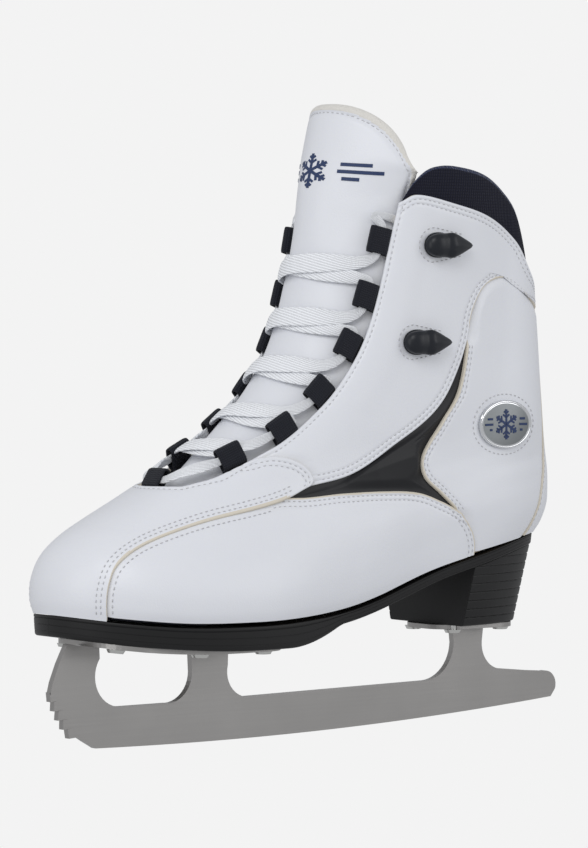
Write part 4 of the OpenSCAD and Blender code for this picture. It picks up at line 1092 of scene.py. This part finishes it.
class SKATE_OT_tongue(bpy.types.Operator):
    """Padded tongue with a soft edge, a seam inside it and a snowflake on its front"""

    bl_idname = "skate.tongue"
    bl_label = "Tongue"

    def execute(self, context):
        near_top = TONGUE_TOP_L - np.geomspace(12, 0.02, 40)
        near_top[-1] = TONGUE_TOP_L
        l0 = np.concatenate([np.linspace(TONGUE_ROWS[0][0], near_top[0], 110), near_top[1:]])
        v0 = np.sin(np.linspace(-1, 1, 81) * np.pi / 2)
        l, v = np.meshgrid(l0, v0, indexing="ij")
        face = tongue_point(l, v, 0 * l)
        d = edge_distances(face)
        rim = np.minimum(np.minimum(d["v0"], d["v1"]), d["u1"])
        back = tongue_point(l, v, 0 * l + 1)
        up = unit(face - back)
        curl = rounding(rim, TONGUE_EDGE)
        thick = np.linalg.norm(face - back, axis=-1)
        groove = 0.9 * np.exp(-(((rim - TONGUE_SEAM) / 0.9) ** 2)) * (l > 100)
        puff = 0.35 * np.sin(l / 9.5) * np.cos(v * 2.2) * fade(np.abs(v), 1)
        top = face - up * (curl * thick * 0.48 + groove - puff * 0.5)[..., None]
        low = back + up * (curl * thick * 0.48)[..., None]
        mid = (rim[1:, 1:] + rim[:-1, :-1]) / 2
        edge = ((mid < 3.1) & (l[1:, 1:] > 90)).ravel().astype(int)
        uv = np.stack([run_along(face), l], -1) / 10
        piece = Piece("tongue_pad")
        piece.shell(top, low, index=edge, wall=1, under=1, uv=uv)
        soft = material("Tongue lining", (0.72, 0.70, 0.66), 0.9, tree=grain_group(), bump=0.35, tone_and_weave_shade=0.5,
                        values=(("Cells", 1200), ("Waves", 500), ("Fine", 1), ("Wide", 0.6)), darker=0.85,
                        Sheen_Weight=0.4)
        tongue = piece.make([leather_mat(), soft], ["tongue_lower", "tongue_upper"],
                            body=None)
        sewing = Piece("tongue_stitching")
        stitch_row(sewing, *(outline_at(chan, rim, TONGUE_SEAM, l > 100) for chan in (top, up)))
        seam_piece = sewing.make([thread_mat()], body=None, sharp=180)
        per_degree = np.linalg.norm(skin(181.0, EMBLEM_L) - skin(179.0, EMBLEM_L)) / 2

        def on_face(x, y, off):
            a, lev = 180 + x / per_degree, EMBLEM_L + y
            return surf(a, lev, tongue_off(a, lev) + off)

        mark = Piece("tongue_emblem")
        bars = [(sgn * (10.5 + 0.8 * k), h, sgn * (24 - 3.4 * k), h, 0.75)
                for sgn in (-1, 1) for k, h in enumerate((0, 3.1, -3.1))]
        snowflake(on_face, 7.6, mark, 0.3, bars)
        ink = plastic_mat("Emblem", colours().mark, 0.5)
        emblem = mark.make([ink], body=None)
        for obj in (tongue, seam_piece, emblem):
            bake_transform(obj)
        return {"FINISHED"}


def outline_at(chan, rim, r, keep):
    """Values of a grid along the line at distance r inside its sides and its last row."""
    n, m = rim.shape
    half = m // 2

    def one_side(values, d):
        i = np.arange(n)
        j = np.clip((d[:, :half] < r).sum(1), 1, half - 1)
        w = np.clip((r - d[i, j - 1]) / np.maximum(d[i, j] - d[i, j - 1], 1e-6), 0, 1)[:, None]
        return values[i, j - 1] + w * (values[i, j] - values[i, j - 1])

    left, right = one_side(chan, rim), one_side(chan[:, ::-1], rim[:, ::-1])
    inside = keep[:, 0] & (rim.max(1) > r + 0.05)
    k = np.arange(m)
    i = np.clip(n - 1 - np.argmax(rim[::-1] >= r, 0), 1, n - 2)
    w = np.clip((rim[i, k] - r) / np.maximum(rim[i, k] - rim[i + 1, k], 1e-6), 0, 1)[:, None]
    over = chan[i, k] + w * (chan[i + 1, k] - chan[i, k])
    return np.concatenate([left[inside], over[rim.max(0) > r + 0.6], right[inside][::-1]])


# --- loops and lace -------------------------------------------------------------------------
LOOP_PLACES = [(-16.3, 212.6), (-9.6, 188.6), (-0.6, 166.8), (14.4, 146), (33.6, 129.8), (57.5, 118.2)]
LOOP_OUT = 11
LOOP_TILT = 30
LOOP_SHIFT = 0.7
LOOP_TAIL = 4
LOOP_NECK = 1.6
CENTRE_SINK = 0.8


def by_loop(i, side, t, inward):
    """Angle and level near a loop: up the throat's edge by t, and in by an angle."""
    share = place(LOOP_PLACES)
    a, b = share[max(i - 1, 0)], share[min(i + 1, len(share) - 1)]
    climb = (a - b) / np.linalg.norm(skin(*a) - skin(*b))
    return across(share[i] + t * climb + np.array([inward, 0]), side)


def loop_lift():
    """Height of the loops' middle off the surface."""
    return -sizes().leather - GAP - 0.6


def loop_frame(i, side):
    """A loop's point, and its axes along the edge, towards the throat's middle and out."""
    q, a, b = (by_loop(i, side, t, 0) for t in (0, 2, -2))
    n = outward(*q)
    along = skin(*b) - skin(*a)
    e = side * unit(along - (along @ n) * n)
    return surf(*q, loop_lift()), e, np.cross(e, n), n


def centre_frame():
    """The same for the loop at the throat's lowest point."""
    n = outward(180, THROAT_FRONT_L + 0.5)
    e = np.array([0.0, -1, 0])
    return surf(180, THROAT_FRONT_L + 0.5, loop_lift() - CENTRE_SINK), e, np.cross(e, n), n


def loop_slot():
    """Height of the slot in a loop, and the middle of the loop's round end."""
    s = sizes()
    slot = s.lace_t + 0.7
    return slot, LOOP_OUT - (slot + 2 * s.web_t) / 2


def web_loop(piece, f):
    """One loop of webbing: a folded band swept along its width, with soft sides."""
    s = sizes()
    slot, tip = loop_slot()
    r = (slot + s.web_t) / 2
    th = np.radians(np.linspace(-90, 90, 15))
    low = np.column_stack([np.linspace(-LOOP_TAIL, tip, 16), np.zeros(16)])
    turn = np.column_stack([tip + r * np.cos(th), r + r * np.sin(th)])
    back = np.column_stack([np.linspace(tip, LOOP_NECK + 0.9, 9), np.full(9, 2 * r)])
    down = np.array([
        (LOOP_NECK - 0.2, 2 * r - 0.7), (LOOP_NECK - 1.5, s.web_t * 1.05), (-LOOP_TAIL, s.web_t * 0.98),
    ])
    path = np.concatenate([low, turn[1:], back[1:], down])
    c, k = np.cos(np.radians(LOOP_TILT)), np.sin(np.radians(LOOP_TILT))
    tilted = np.clip((path[:, :1] + 1.5) / 2.5, 0, 1)
    y, z = path.T
    path = path * (1 - tilted) + tilted * np.column_stack([y * c - z * k, y * k + z * c])
    go = unit(np.gradient(path, axis=0))
    side = np.column_stack([-go[:, 1], go[:, 0]])
    x = np.linspace(-1, 1, 15)
    half = s.web_t / 2 * (1 - 0.45 * np.abs(x) ** 8)
    run = np.concatenate([[0], np.cumsum(np.linalg.norm(np.diff(path, axis=0), axis=1))])

    def face(sign):
        yz = path[:, None] + sign * side[:, None] * half[None, :, None]
        return (f[0] + x[None, :, None] * s.web_w / 2 * f[1]
                + (yz[..., :1] + LOOP_SHIFT) * f[2] + yz[..., 1:] * f[3])

    uv = np.stack(np.broadcast_arrays(run[:, None], x[None] * s.web_w / 2), -1) / 10
    piece.shell(face(-1), face(1), uv=uv)


class SKATE_OT_loops(bpy.types.Operator):
    """Webbing loops for the lace along both sides of the throat and at its foot"""

    bl_idname = "skate.loops"
    bl_label = "Lace loops"

    def execute(self, context):
        # Webbing, darker in the hollows of its weave as painted shade.
        web = cloth_mat("Webbing", colours().webbing, 0.95, 0.35, 0.7, 0.75)
        for name, side in SIDES:
            piece = Piece(f"webbing_loops_{name}")
            for i in range(len(LOOP_PLACES)):
                web_loop(piece, loop_frame(i, side))
            piece.make([web], [f"lace_loops_{name}"])
        piece = Piece("webbing_loop_centre")
        web_loop(piece, centre_frame())
        piece.make([web], ["lace_loop_centre"])
        return {"FINISHED"}


LACE_NARROW = 0.42
# A lace's end behind the quarter: angle past the top loop, level, height, share of width
TAIL_ROWS = [
    (9, 171, 2, 0.42), (4.5, 171.3, -0.3, 0.42), (0, 170, -2.8, 0.42), (-5, 168.5, -3.7, 0.42),
    (-12, 165, -4, 0.5), (-19, 160, -5, 0.5), (-25, 152, -7.4, 0.5), (-29, 140, -9, 0.45),
    (-30, 122, -9.4, 0.4), (-30, 104, -9.4, 0.3),
]


def in_slot(f, t):
    """A row of the lace's path in a loop: place, the way it faces, share of its width."""
    slot, tip = loop_slot()
    c, k = np.cos(np.radians(LOOP_TILT)), np.sin(np.radians(LOOP_TILT))
    y, z = c * f[2] + k * f[3], c * f[3] - k * f[2]
    at = ((LOOP_NECK + sizes().web_t + tip) / 2, sizes().web_t / 2 + slot / 2)
    return [*(f[0] + LOOP_SHIFT * f[2] + at[0] * y + at[1] * z + t * f[1]), *z, LACE_NARROW]


def over_tongue(q, lift, share):
    """A row of the lace's path that rests on the tongue."""
    off = max(float(tongue_off(*q)) + 0.8 + sizes().lace_t / 2, 2.4) + lift
    return [*surf(*q, off), *outward(*q), share]


def strand(i, side):
    """Rows from the top of a loop to the foot of the next one up, on the other side."""
    out = sizes().web_w / 2 + 3.2
    p, q = by_loop(i, side, out, 11), by_loop(i - 1, -side, -out, 11)
    lift = sizes().lace_t + 0.6 if side < 0 else 0
    return [over_tongue(p, 0, 0.65), over_tongue(p + 0.25 * (q - p), lift * 0.7, 1),
            over_tongue((p + q) / 2, lift, 1), over_tongue(p + 0.75 * (q - p), lift * 0.7, 1),
            over_tongue(q, 0, 0.65)]


def tail(side):
    """Rows of the lace's end, behind the quarter's edge and down inside the lining."""
    a0 = place(LOOP_PLACES)[0][0]
    rows = []
    for da, l, off, share in TAIL_ROWS:
        q = across(np.array([a0 + da, l]), side)
        rows.append([*surf(*q, off), *outward(*q), share])
    return rows


def half_lace(side):
    """Rows from the centre loop up to one end: the lace changes sides at every strand."""
    rows = [over_tongue(np.array([180.0 - side * 14, 61]), 0, 0.8)]
    for k in range(len(LOOP_PLACES)):
        i, s = len(LOOP_PLACES) - 1 - k, side * (1 if k % 2 == 0 else -1)
        up = -s * (sizes().web_w / 2 + 0.5)
        rows += [in_slot(loop_frame(i, s), t) for t in (-up, 0, up)]
        rows += strand(i, s) if i > 0 else tail(s)
    return rows


class SKATE_OT_lace(bpy.types.Operator):
    """One flat ribbed lace through every loop, narrow in the loops and wide between"""

    bl_idname = "skate.lace"
    bl_label = "Lace"

    def execute(self, context):
        s = sizes()
        mid = [in_slot(centre_frame(), t) for t in (-(s.web_w / 2 + 0.5), 0, s.web_w / 2 + 0.5)]
        path = by_length(half_lace(1)[::-1] + mid + half_lace(-1))
        steps = 1500
        u = np.linspace(0, 1, steps)
        r = smooth(path, u)
        p = r[:, :3]
        go = unit(np.gradient(p, axis=0))
        up = unit(r[:, 3:6] - (r[:, 3:6] * go).sum(-1, keepdims=True) * go)
        wide = np.cross(up, go)
        run = np.concatenate([[0], np.cumsum(np.linalg.norm(np.diff(p, axis=0), axis=1))])
        share = r[:, 6]
        th = np.linspace(0, 2 * np.pi, 28, endpoint=False)
        c = np.sign(np.cos(th)) * np.abs(np.cos(th)) ** 0.7
        d = np.sign(np.sin(th)) * np.abs(np.sin(th)) ** 0.7
        fold = np.clip((0.95 - share) / 0.5, 0, 1)[:, None]
        ripple = 0.10 * np.sin(run[:, None] * 1.3 + c[None] * 2.2) * (1 - fold)
        bow = 0.28 * (1 - fold) * (c[None] ** 2 - 0.4) * -1
        height = s.lace_t / 2 * d[None] * (1 + 0.25 * fold) + ripple * 0.5 + bow
        width = s.lace_w / 2 * c[None] * share[:, None]
        rings = p[:, None] + wide[:, None] * width[..., None] + up[:, None] * height[..., None]
        uv = np.stack(np.broadcast_arrays(run[:, None], c[None] * s.lace_w / 2), -1) / 10
        piece = Piece("lace_ribbon")
        piece.tube(rings, uv=uv)
        # The lace's colour is darker in the hollows of its ribs: painted shade.
        ribbed = material("Lace", colours().lace, 0.8, tree=weave_group(), bump=0.4, tone_and_weave_shade=0.5, darker=0.84,
                          values=(("Along 1", 2.6), ("Across 1", 8.2), ("Along 2", 9), ("Across 2", -2),
                                  ("Cross", 0.25)),
                          Sheen_Weight=0.2)
        piece.make([ribbed], ["lace"], sharp=180)
        return {"FINISHED"}


# --- hooks and badge ------------------------------------------------------------------------
HOOK_PLACES = [(-42, 212), (-31.5, 170)]
HOOK_L = 24
# The hook's body from its round front to its tip: place, half-width, underside, top
HOOK_ROWS = [
    (-12, 0.2, 1.4, 2.0), (-11.6, 2.0, 0.6, 3.4), (-10.6, 3.5, 0.3, 4.8), (-8.8, 4.6, 0.2, 5.9),
    (-6.4, 5.1, 0.2, 6.5), (-4.4, 5.2, 0.2, 6.4), (-2.6, 5.2, 0.3, 6.3), (-1.2, 5.4, 0.8, 6.8),
    (0.2, 5.5, 1.5, 7.1), (2.4, 4.9, 1.9, 6.8), (5.2, 3.75, 2.2, 6.2), (8.4, 2.35, 2.5, 5.2),
    (10.6, 1.4, 2.6, 4.4), (11.7, 0.8, 2.8, 3.8), (12, 0.3, 3.2, 3.5),
]


def hook_frame(i, side):
    """A hook's point, and its axes to its tip, across and away from the boot."""
    q = across(place(HOOK_PLACES[i]), side)
    n = outward(*q)
    back = unit(np.array([-1.0, 0, 0]) + n[0] * n)
    return surf(*q, sizes().lap + 0.25), back, np.cross(n, back), n


class SKATE_OT_hooks(bpy.types.Operator):
    """Pointed lace hooks on both quarters, each inside a sewn bend"""

    bl_idname = "skate.hooks"
    bl_label = "Hooks"

    def execute(self, context):
        dark = plastic_mat("Hook", colours().hook, 0.36, 120, 0.4)
        sewing = Piece("hook_stitching")
        for name, side in SIDES:
            for i, where in enumerate(("upper", "lower")):
                f = hook_frame(i, side)
                x = -HOOK_L / 2 + HOOK_L * (1 - np.cos(np.linspace(0, np.pi, 64))) / 2
                r = smooth(HOOK_ROWS, x)
                th = np.linspace(0, 2 * np.pi, 48, endpoint=False)[None]
                c = np.sign(np.cos(th)) * np.abs(np.cos(th)) ** 0.85
                d = np.sign(np.sin(th)) * np.abs(np.sin(th)) ** 0.85
                ridge = 0.35 * np.exp(-((c * r[:, :1] / 0.35) ** 2)) * (d > 0) * soft_step(x, 0, 3)[:, None]
                y = r[:, :1] * c
                z = (r[:, 1:2] + r[:, 2:3]) / 2 + (r[:, 2:3] - r[:, 1:2]) / 2 * d + ridge
                piece = Piece(f"hook_{name}_{where}_shaped")
                piece.tube(f[0] + x[:, None, None] * f[1] + y[..., None] * f[2] + z[..., None] * f[3])
                w = np.linspace(0, 2 * np.pi, 49)[:-1]
                base = np.column_stack([-3.6 + 8.3 * np.cos(w), 5.5 * np.sin(w) * (1 - 0.12 * np.cos(w))])
                levels = ((0.94, -0.3), (1, 0.1), (1, 0.7), (0.95, 1.05), (0.8, 1.2))
                foot = base[:, :1] * f[1] + base[:, 1:] * f[2]
                piece.tube(np.stack([f[0] + foot * k + h * f[3] for k, h in levels]))
                piece.make([dark], [f"hook_{name}_{where}"])
                w = np.radians(np.linspace(-90, 90, 40))
                bend = np.column_stack([6.2 + 7.8 * np.cos(w), 7.5 * np.sin(w)])
                leg = np.linspace([-9.5, 4.7], [5.8, 7.5], 24)
                at = np.array(HOOK_PLACES[i]) + np.concatenate([leg * [1, -1], bend, leg[::-1]])
                stitch_line(sewing, across(place(at), side), sizes().lap + 0.06)
        sewing.make([thread_mat()], sharp=180)
        return {"FINISHED"}


BADGE_PLACE = np.array([-79, 133.5])
BADGE_L, BADGE_H = 30, 20.5


class SKATE_OT_badges(bpy.types.Operator):
    """Oval badges with a bright ring and a snowflake, each inside a sewn ring"""

    bl_idname = "skate.badges"
    bl_label = "Badges"

    def execute(self, context):
        face = metal_mat("Badge face", colours().silver, 0.42, 0.6)
        bright = material("Badge ring", (0.75, 0.76, 0.78), 0.12, 1.0)
        ink = plastic_mat("Emblem", colours().mark, 0.5)
        sewing = Piece("badge_stitching")
        base = sizes().lap + 0.25
        for name, side in SIDES:

            def at(x, y, off):
                xz = np.stack(np.broadcast_arrays(BADGE_PLACE[0] + x, BADGE_PLACE[1] + y), -1)
                q = across(place(xz), side)
                return surf(q[..., 0], q[..., 1], off + 0 * q[..., 0])

            w = np.radians(np.arange(96) * 3.75)[None]
            # share of the oval, and height
            r = np.array([
                (1.0, -0.1), (1.03, 0.3), (1.03, 1.0), (1.0, 1.35), (0.965, 1.45), (0.94, 1.3),
                (0.925, 1.0), (0.9, 1.02), (0.6, 1.16), (0.3, 1.24), (0.03, 1.26),
            ])
            x, y = r[:, :1] * BADGE_L / 2 * np.cos(w), r[:, :1] * BADGE_H / 2 * np.sin(w)
            rings = at(x, y, base + r[:, 1:])
            piece = Piece(f"badge_{name}_oval")
            index = np.repeat(np.array([1] * 7 + [0] * 3), 96)
            piece.tube(rings, index=index, cap=0)
            bars = [(sgn * (7.6 + 0.2 * k), h, sgn * (12.2 - 1.4 * k), h, 0.5)
                    for sgn in (-1, 1) for k, h in enumerate((0, 2.4, -2.4))]
            snowflake(lambda x, y, off: at(x, y, base + 1.22 + off), 6.6, piece, 0.12, bars, 2)
            piece.make([face, bright, ink], [f"badge_{name}"])
            ring = np.radians(np.linspace(0, 360, 160))
            half_l, half_h = BADGE_L / 2 + 3.4, BADGE_H / 2 + 3.0
            pts = BADGE_PLACE + np.column_stack([half_l * np.cos(ring), half_h * np.sin(ring)])
            stitch_line(sewing, across(place(pts), side), sizes().lap + 0.06)
        sewing.make([thread_mat()], sharp=180)
        return {"FINISHED"}


# --- sole -----------------------------------------------------------------------------------
BALL_Z, HEEL_Z, STRIP_T = 42, 44.3, 5
BREAST_A = 54
HEEL_TAPER, HEEL_BACK_IN = 6.5, 7
HEEL_LAYER = 3.8
# The sole's edge from the top down: share of its height, and inset from the outline
SOLE_EDGE = [
    (0, 0.9), (0, 0.35), (0.02, 0.1), (0.05, 0), (0.1, 0), (0.13, 0.04), (0.145, 0.28), (0.165, 0.3),
    (0.18, 0.1), (0.3, 0.14), (0.44, 0.2), (0.45, 0.32), (0.47, 0.32), (0.48, 0.22), (0.62, 0.3),
    (0.74, 0.37), (0.75, 0.48), (0.77, 0.48), (0.78, 0.4), (0.88, 0.46), (0.95, 0.7), (0.985, 1.1),
    (1, 1.7),
]


def under_z(x):
    """Underside of the sole strip along the boot."""
    flat = BALL_Z + 0.0012 * np.maximum(x - 62, 0) ** 2 + 0.02 * np.maximum(45 - x, 0) ** 1.75
    return np.minimum(flat, smooth(FEATHER, x) - STRIP_T)


def two_sided(a, profile, inner=10):
    """Rings across the sole at angles a: a profile down the outer side, across below, up
    the inner side and across above. profile(a) gives points from the top down."""
    out, inn = profile(a), profile(360 - a)
    w = np.linspace(0, 1, inner + 2)[1:-1, None]
    below = out[:, -1:] * (1 - w) + inn[:, -1:] * w
    above = inn[:, :1] * (1 - w) + out[:, :1] * w
    return np.concatenate([out, below, inn[:, ::-1], above], 1)


class SKATE_OT_sole(bpy.types.Operator):
    """Sole with a lip along its upper edge, and a heel block with level grooves"""

    bl_idname = "skate.sole"
    bl_label = "Sole"

    def execute(self, context):
        black = plastic_mat("Sole", colours().sole, 0.48, 50, 0.8)

        def sole_side(a):
            share, inset = np.array(SOLE_EDGE).T
            xy = ring_point(a[:, None], inset)
            top = smooth(FEATHER, xy[..., 0]) - 0.15
            return np.concatenate([xy, (top + (under_z(xy[..., 0]) - top) * share)[..., None]], -1)

        a = 0.05 + 179.9 * (1 - np.cos(np.linspace(0, np.pi, 220))) / 2
        piece = Piece("sole_unit")
        piece.tube(two_sided(a, sole_side))
        piece.make([black], ["outsole"], sharp=35)

        def heel_side(a):
            t = np.linspace(0, 1, 150)[None]
            xy = ring_point(a, np.full(a.shape, 1.0))
            top = np.concatenate([xy, (under_z(xy[:, 0]) - 0.1)[:, None]], 1)
            share = np.clip((xy[:, 0] + 60) / -58, 0, None)
            low = np.column_stack([xy[:, 0] + HEEL_BACK_IN * share + 0.5, xy[:, 1] * (1 - HEEL_TAPER / 30),
                                   np.full(len(a), HEEL_Z)])
            p = top[:, None] * (1 - t[..., None]) + low[:, None] * t[..., None]
            up = p[..., 2] - HEEL_Z
            to_line = (up + HEEL_LAYER / 2) % HEEL_LAYER - HEEL_LAYER / 2
            cut = 0.4 * np.exp(-((to_line / 0.28) ** 2)) * (up > 2) + 0.9 * rounding(up, 0.9)
            tangent = ring_point(a + 0.5, np.full(a.shape, 1.0)) - ring_point(a - 0.5, np.full(a.shape, 1.0))
            n = unit(np.stack([-tangent[:, 1], tangent[:, 0]], -1))
            p[..., :2] -= n[:, None] * cut[..., None]
            return p

        piece = Piece("heel_unit")
        piece.tube(two_sided(np.linspace(0.8, BREAST_A, 90), heel_side))
        piece.make([black], ["heel_block"], sharp=35)
        return {"FINISHED"}


class SKATE_OT_metal(bpy.types.Operator):
    """Finishes for the parts that keep their own shape"""

    bl_idname = "skate.metal"
    bl_label = "Metal and boards"

    def execute(self, context):
        tint = colours()
        steel = metal_mat("Runner steel", tint.steel, 0.34, 1)
        zinc = metal_mat("Zinc", tint.zinc, 0.22, 0.4)
        board = material("Board", (0.45, 0.36, 0.24), 0.9, tree=grain_group(), bump=0.1)
        puff = material("Toe puff", (0.010, 0.012, 0.02), 0.9, tree=grain_group(), bump=0.1)
        clear = plastic_mat("Aglet", (0.75, 0.76, 0.78), 0.2)
        finishes = (
            (steel, "runner_steel", ("runner", "sole_plate", "heel_plate")),
            (zinc, "zinc_screw", ("sole_plate_screws", "heel_plate_screws", "hook_rivets")),
            (steel, "shank_steel", ("shank",)),
            (board, "stiffener_board",
             ("insole_board", "heel_stiffener", "ankle_board_lateral", "ankle_board_medial")),
            (puff, "stiffener_board", ("toe_puff",)),
            (clear, "aglet_clear", ("lace_aglets",)),
        )
        for mat, slot, names in finishes:
            for name in names:
                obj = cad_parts[name]
                obj.data.materials.clear()
                obj.data.materials.append(mat)
        for name, width in (("runner", 0.35), ("sole_plate", 0.3), ("heel_plate", 0.3)):
            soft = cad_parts[name].modifiers.new("Soft edges", "BEVEL")
            soft.width, soft.segments, soft.limit_method = width * MM, 2, "ANGLE"
            soft.angle_limit = np.radians(40)
        return {"FINISHED"}


# --- stage ----------------------------------------------------------------------------------
class SKATE_OT_stage(bpy.types.Operator):
    """Camera, soft lights and a plain pale surrounding"""

    bl_idname = "skate.stage"
    bl_label = "Stage"

    def execute(self, context):
        scene = context.scene
        scene.view_settings.view_transform = "Standard"
        world = scene.world or bpy.data.worlds.new("World")
        scene.world = world
        world.use_nodes = True
        t = world.node_tree
        t.nodes.clear()
        seen, fill = (t.nodes.new("ShaderNodeBackground") for _ in range(2))
        mix = t.nodes.new("ShaderNodeMixShader")
        seen.inputs["Color"].default_value = (*colours().backdrop, 1)
        fill.inputs["Color"].default_value = (0.97, 0.98, 1.0, 1)
        fill.inputs["Strength"].default_value = 0.55
        t.links.new(t.nodes.new("ShaderNodeLightPath").outputs["Is Camera Ray"], mix.inputs[0])
        t.links.new(fill.outputs[0], mix.inputs[1])
        t.links.new(seen.outputs[0], mix.inputs[2])
        t.links.new(mix.outputs[0], t.nodes.new("ShaderNodeOutputWorld").inputs[0])
        aim = Vector((0, 0, 0.13))
        for name, at, size, power in (
            ("Key", (0.9, 0.75, 0.9), 0.7, 5.6),
            ("Toe", (1.2, 0.1, 0.3), 0.6, 2.2),
            ("Fill", (-0.7, 1.1, 0.5), 0.8, 3.4),
        ):
            light = bpy.data.lights.new(name, "AREA")
            light.energy, light.size = power, size
            obj = bpy.data.objects.new(name, light)
            obj.location = at
            obj.rotation_euler = (aim - Vector(at)).to_track_quat("-Z", "Y").to_euler()
            scene.collection.objects.link(obj)
        camera = bpy.data.cameras.new("Camera")
        camera.lens, camera.sensor_width = 166.56, 36
        camera.clip_start, camera.clip_end = 0.05, 20
        obj = bpy.data.objects.new("Camera", camera)
        obj.location = (1.05679, 1.33890, 0.19006)
        look = Vector((0.010726, 0, 0.134473))
        obj.rotation_euler = (look - obj.location).to_track_quat("-Z", "Y").to_euler()
        scene.collection.objects.link(obj)
        scene.camera = obj
        return {"FINISHED"}


OPERATORS = (
    SKATE_OT_leather, SKATE_OT_insert, SKATE_OT_lining, SKATE_OT_tongue, SKATE_OT_loops, SKATE_OT_lace,
    SKATE_OT_hooks, SKATE_OT_badges, SKATE_OT_sole, SKATE_OT_metal, SKATE_OT_stage,
)


class SKATE_PT_panel(bpy.types.Panel):
    """Sizes, colours and builders of the skate"""

    bl_label = "Skate"
    bl_idname = "SKATE_PT_panel"
    bl_space_type = "VIEW_3D"
    bl_region_type = "UI"
    bl_category = "Skate"

    def draw(self, context):
        for values in (context.scene.skate_sizes, context.scene.skate_colours):
            box = self.layout.box()
            for key in values.bl_rna.properties.keys():
                if key not in ("rna_type", "name"):
                    box.prop(values, key)
        for operator in OPERATORS:
            self.layout.operator(operator.bl_idname)


CLASSES = (SkateSizes, SkateColours, *OPERATORS, SKATE_PT_panel)


def register():
    """Registers the classes and the scene's settings."""
    for c in CLASSES:
        bpy.utils.register_class(c)
    bpy.types.Scene.skate_sizes = bpy.props.PointerProperty(type=SkateSizes)
    bpy.types.Scene.skate_colours = bpy.props.PointerProperty(type=SkateColours)


def unregister():
    """Takes them away again."""
    del bpy.types.Scene.skate_colours
    del bpy.types.Scene.skate_sizes
    for c in reversed(CLASSES):
        bpy.utils.unregister_class(c)


def main():
    """Builds every piece and the stage."""
    register()
    for operator in OPERATORS:
        kind, name = operator.bl_idname.split(".")
        getattr(getattr(bpy.ops, kind), name)()


if __name__ == "__main__":
    main()
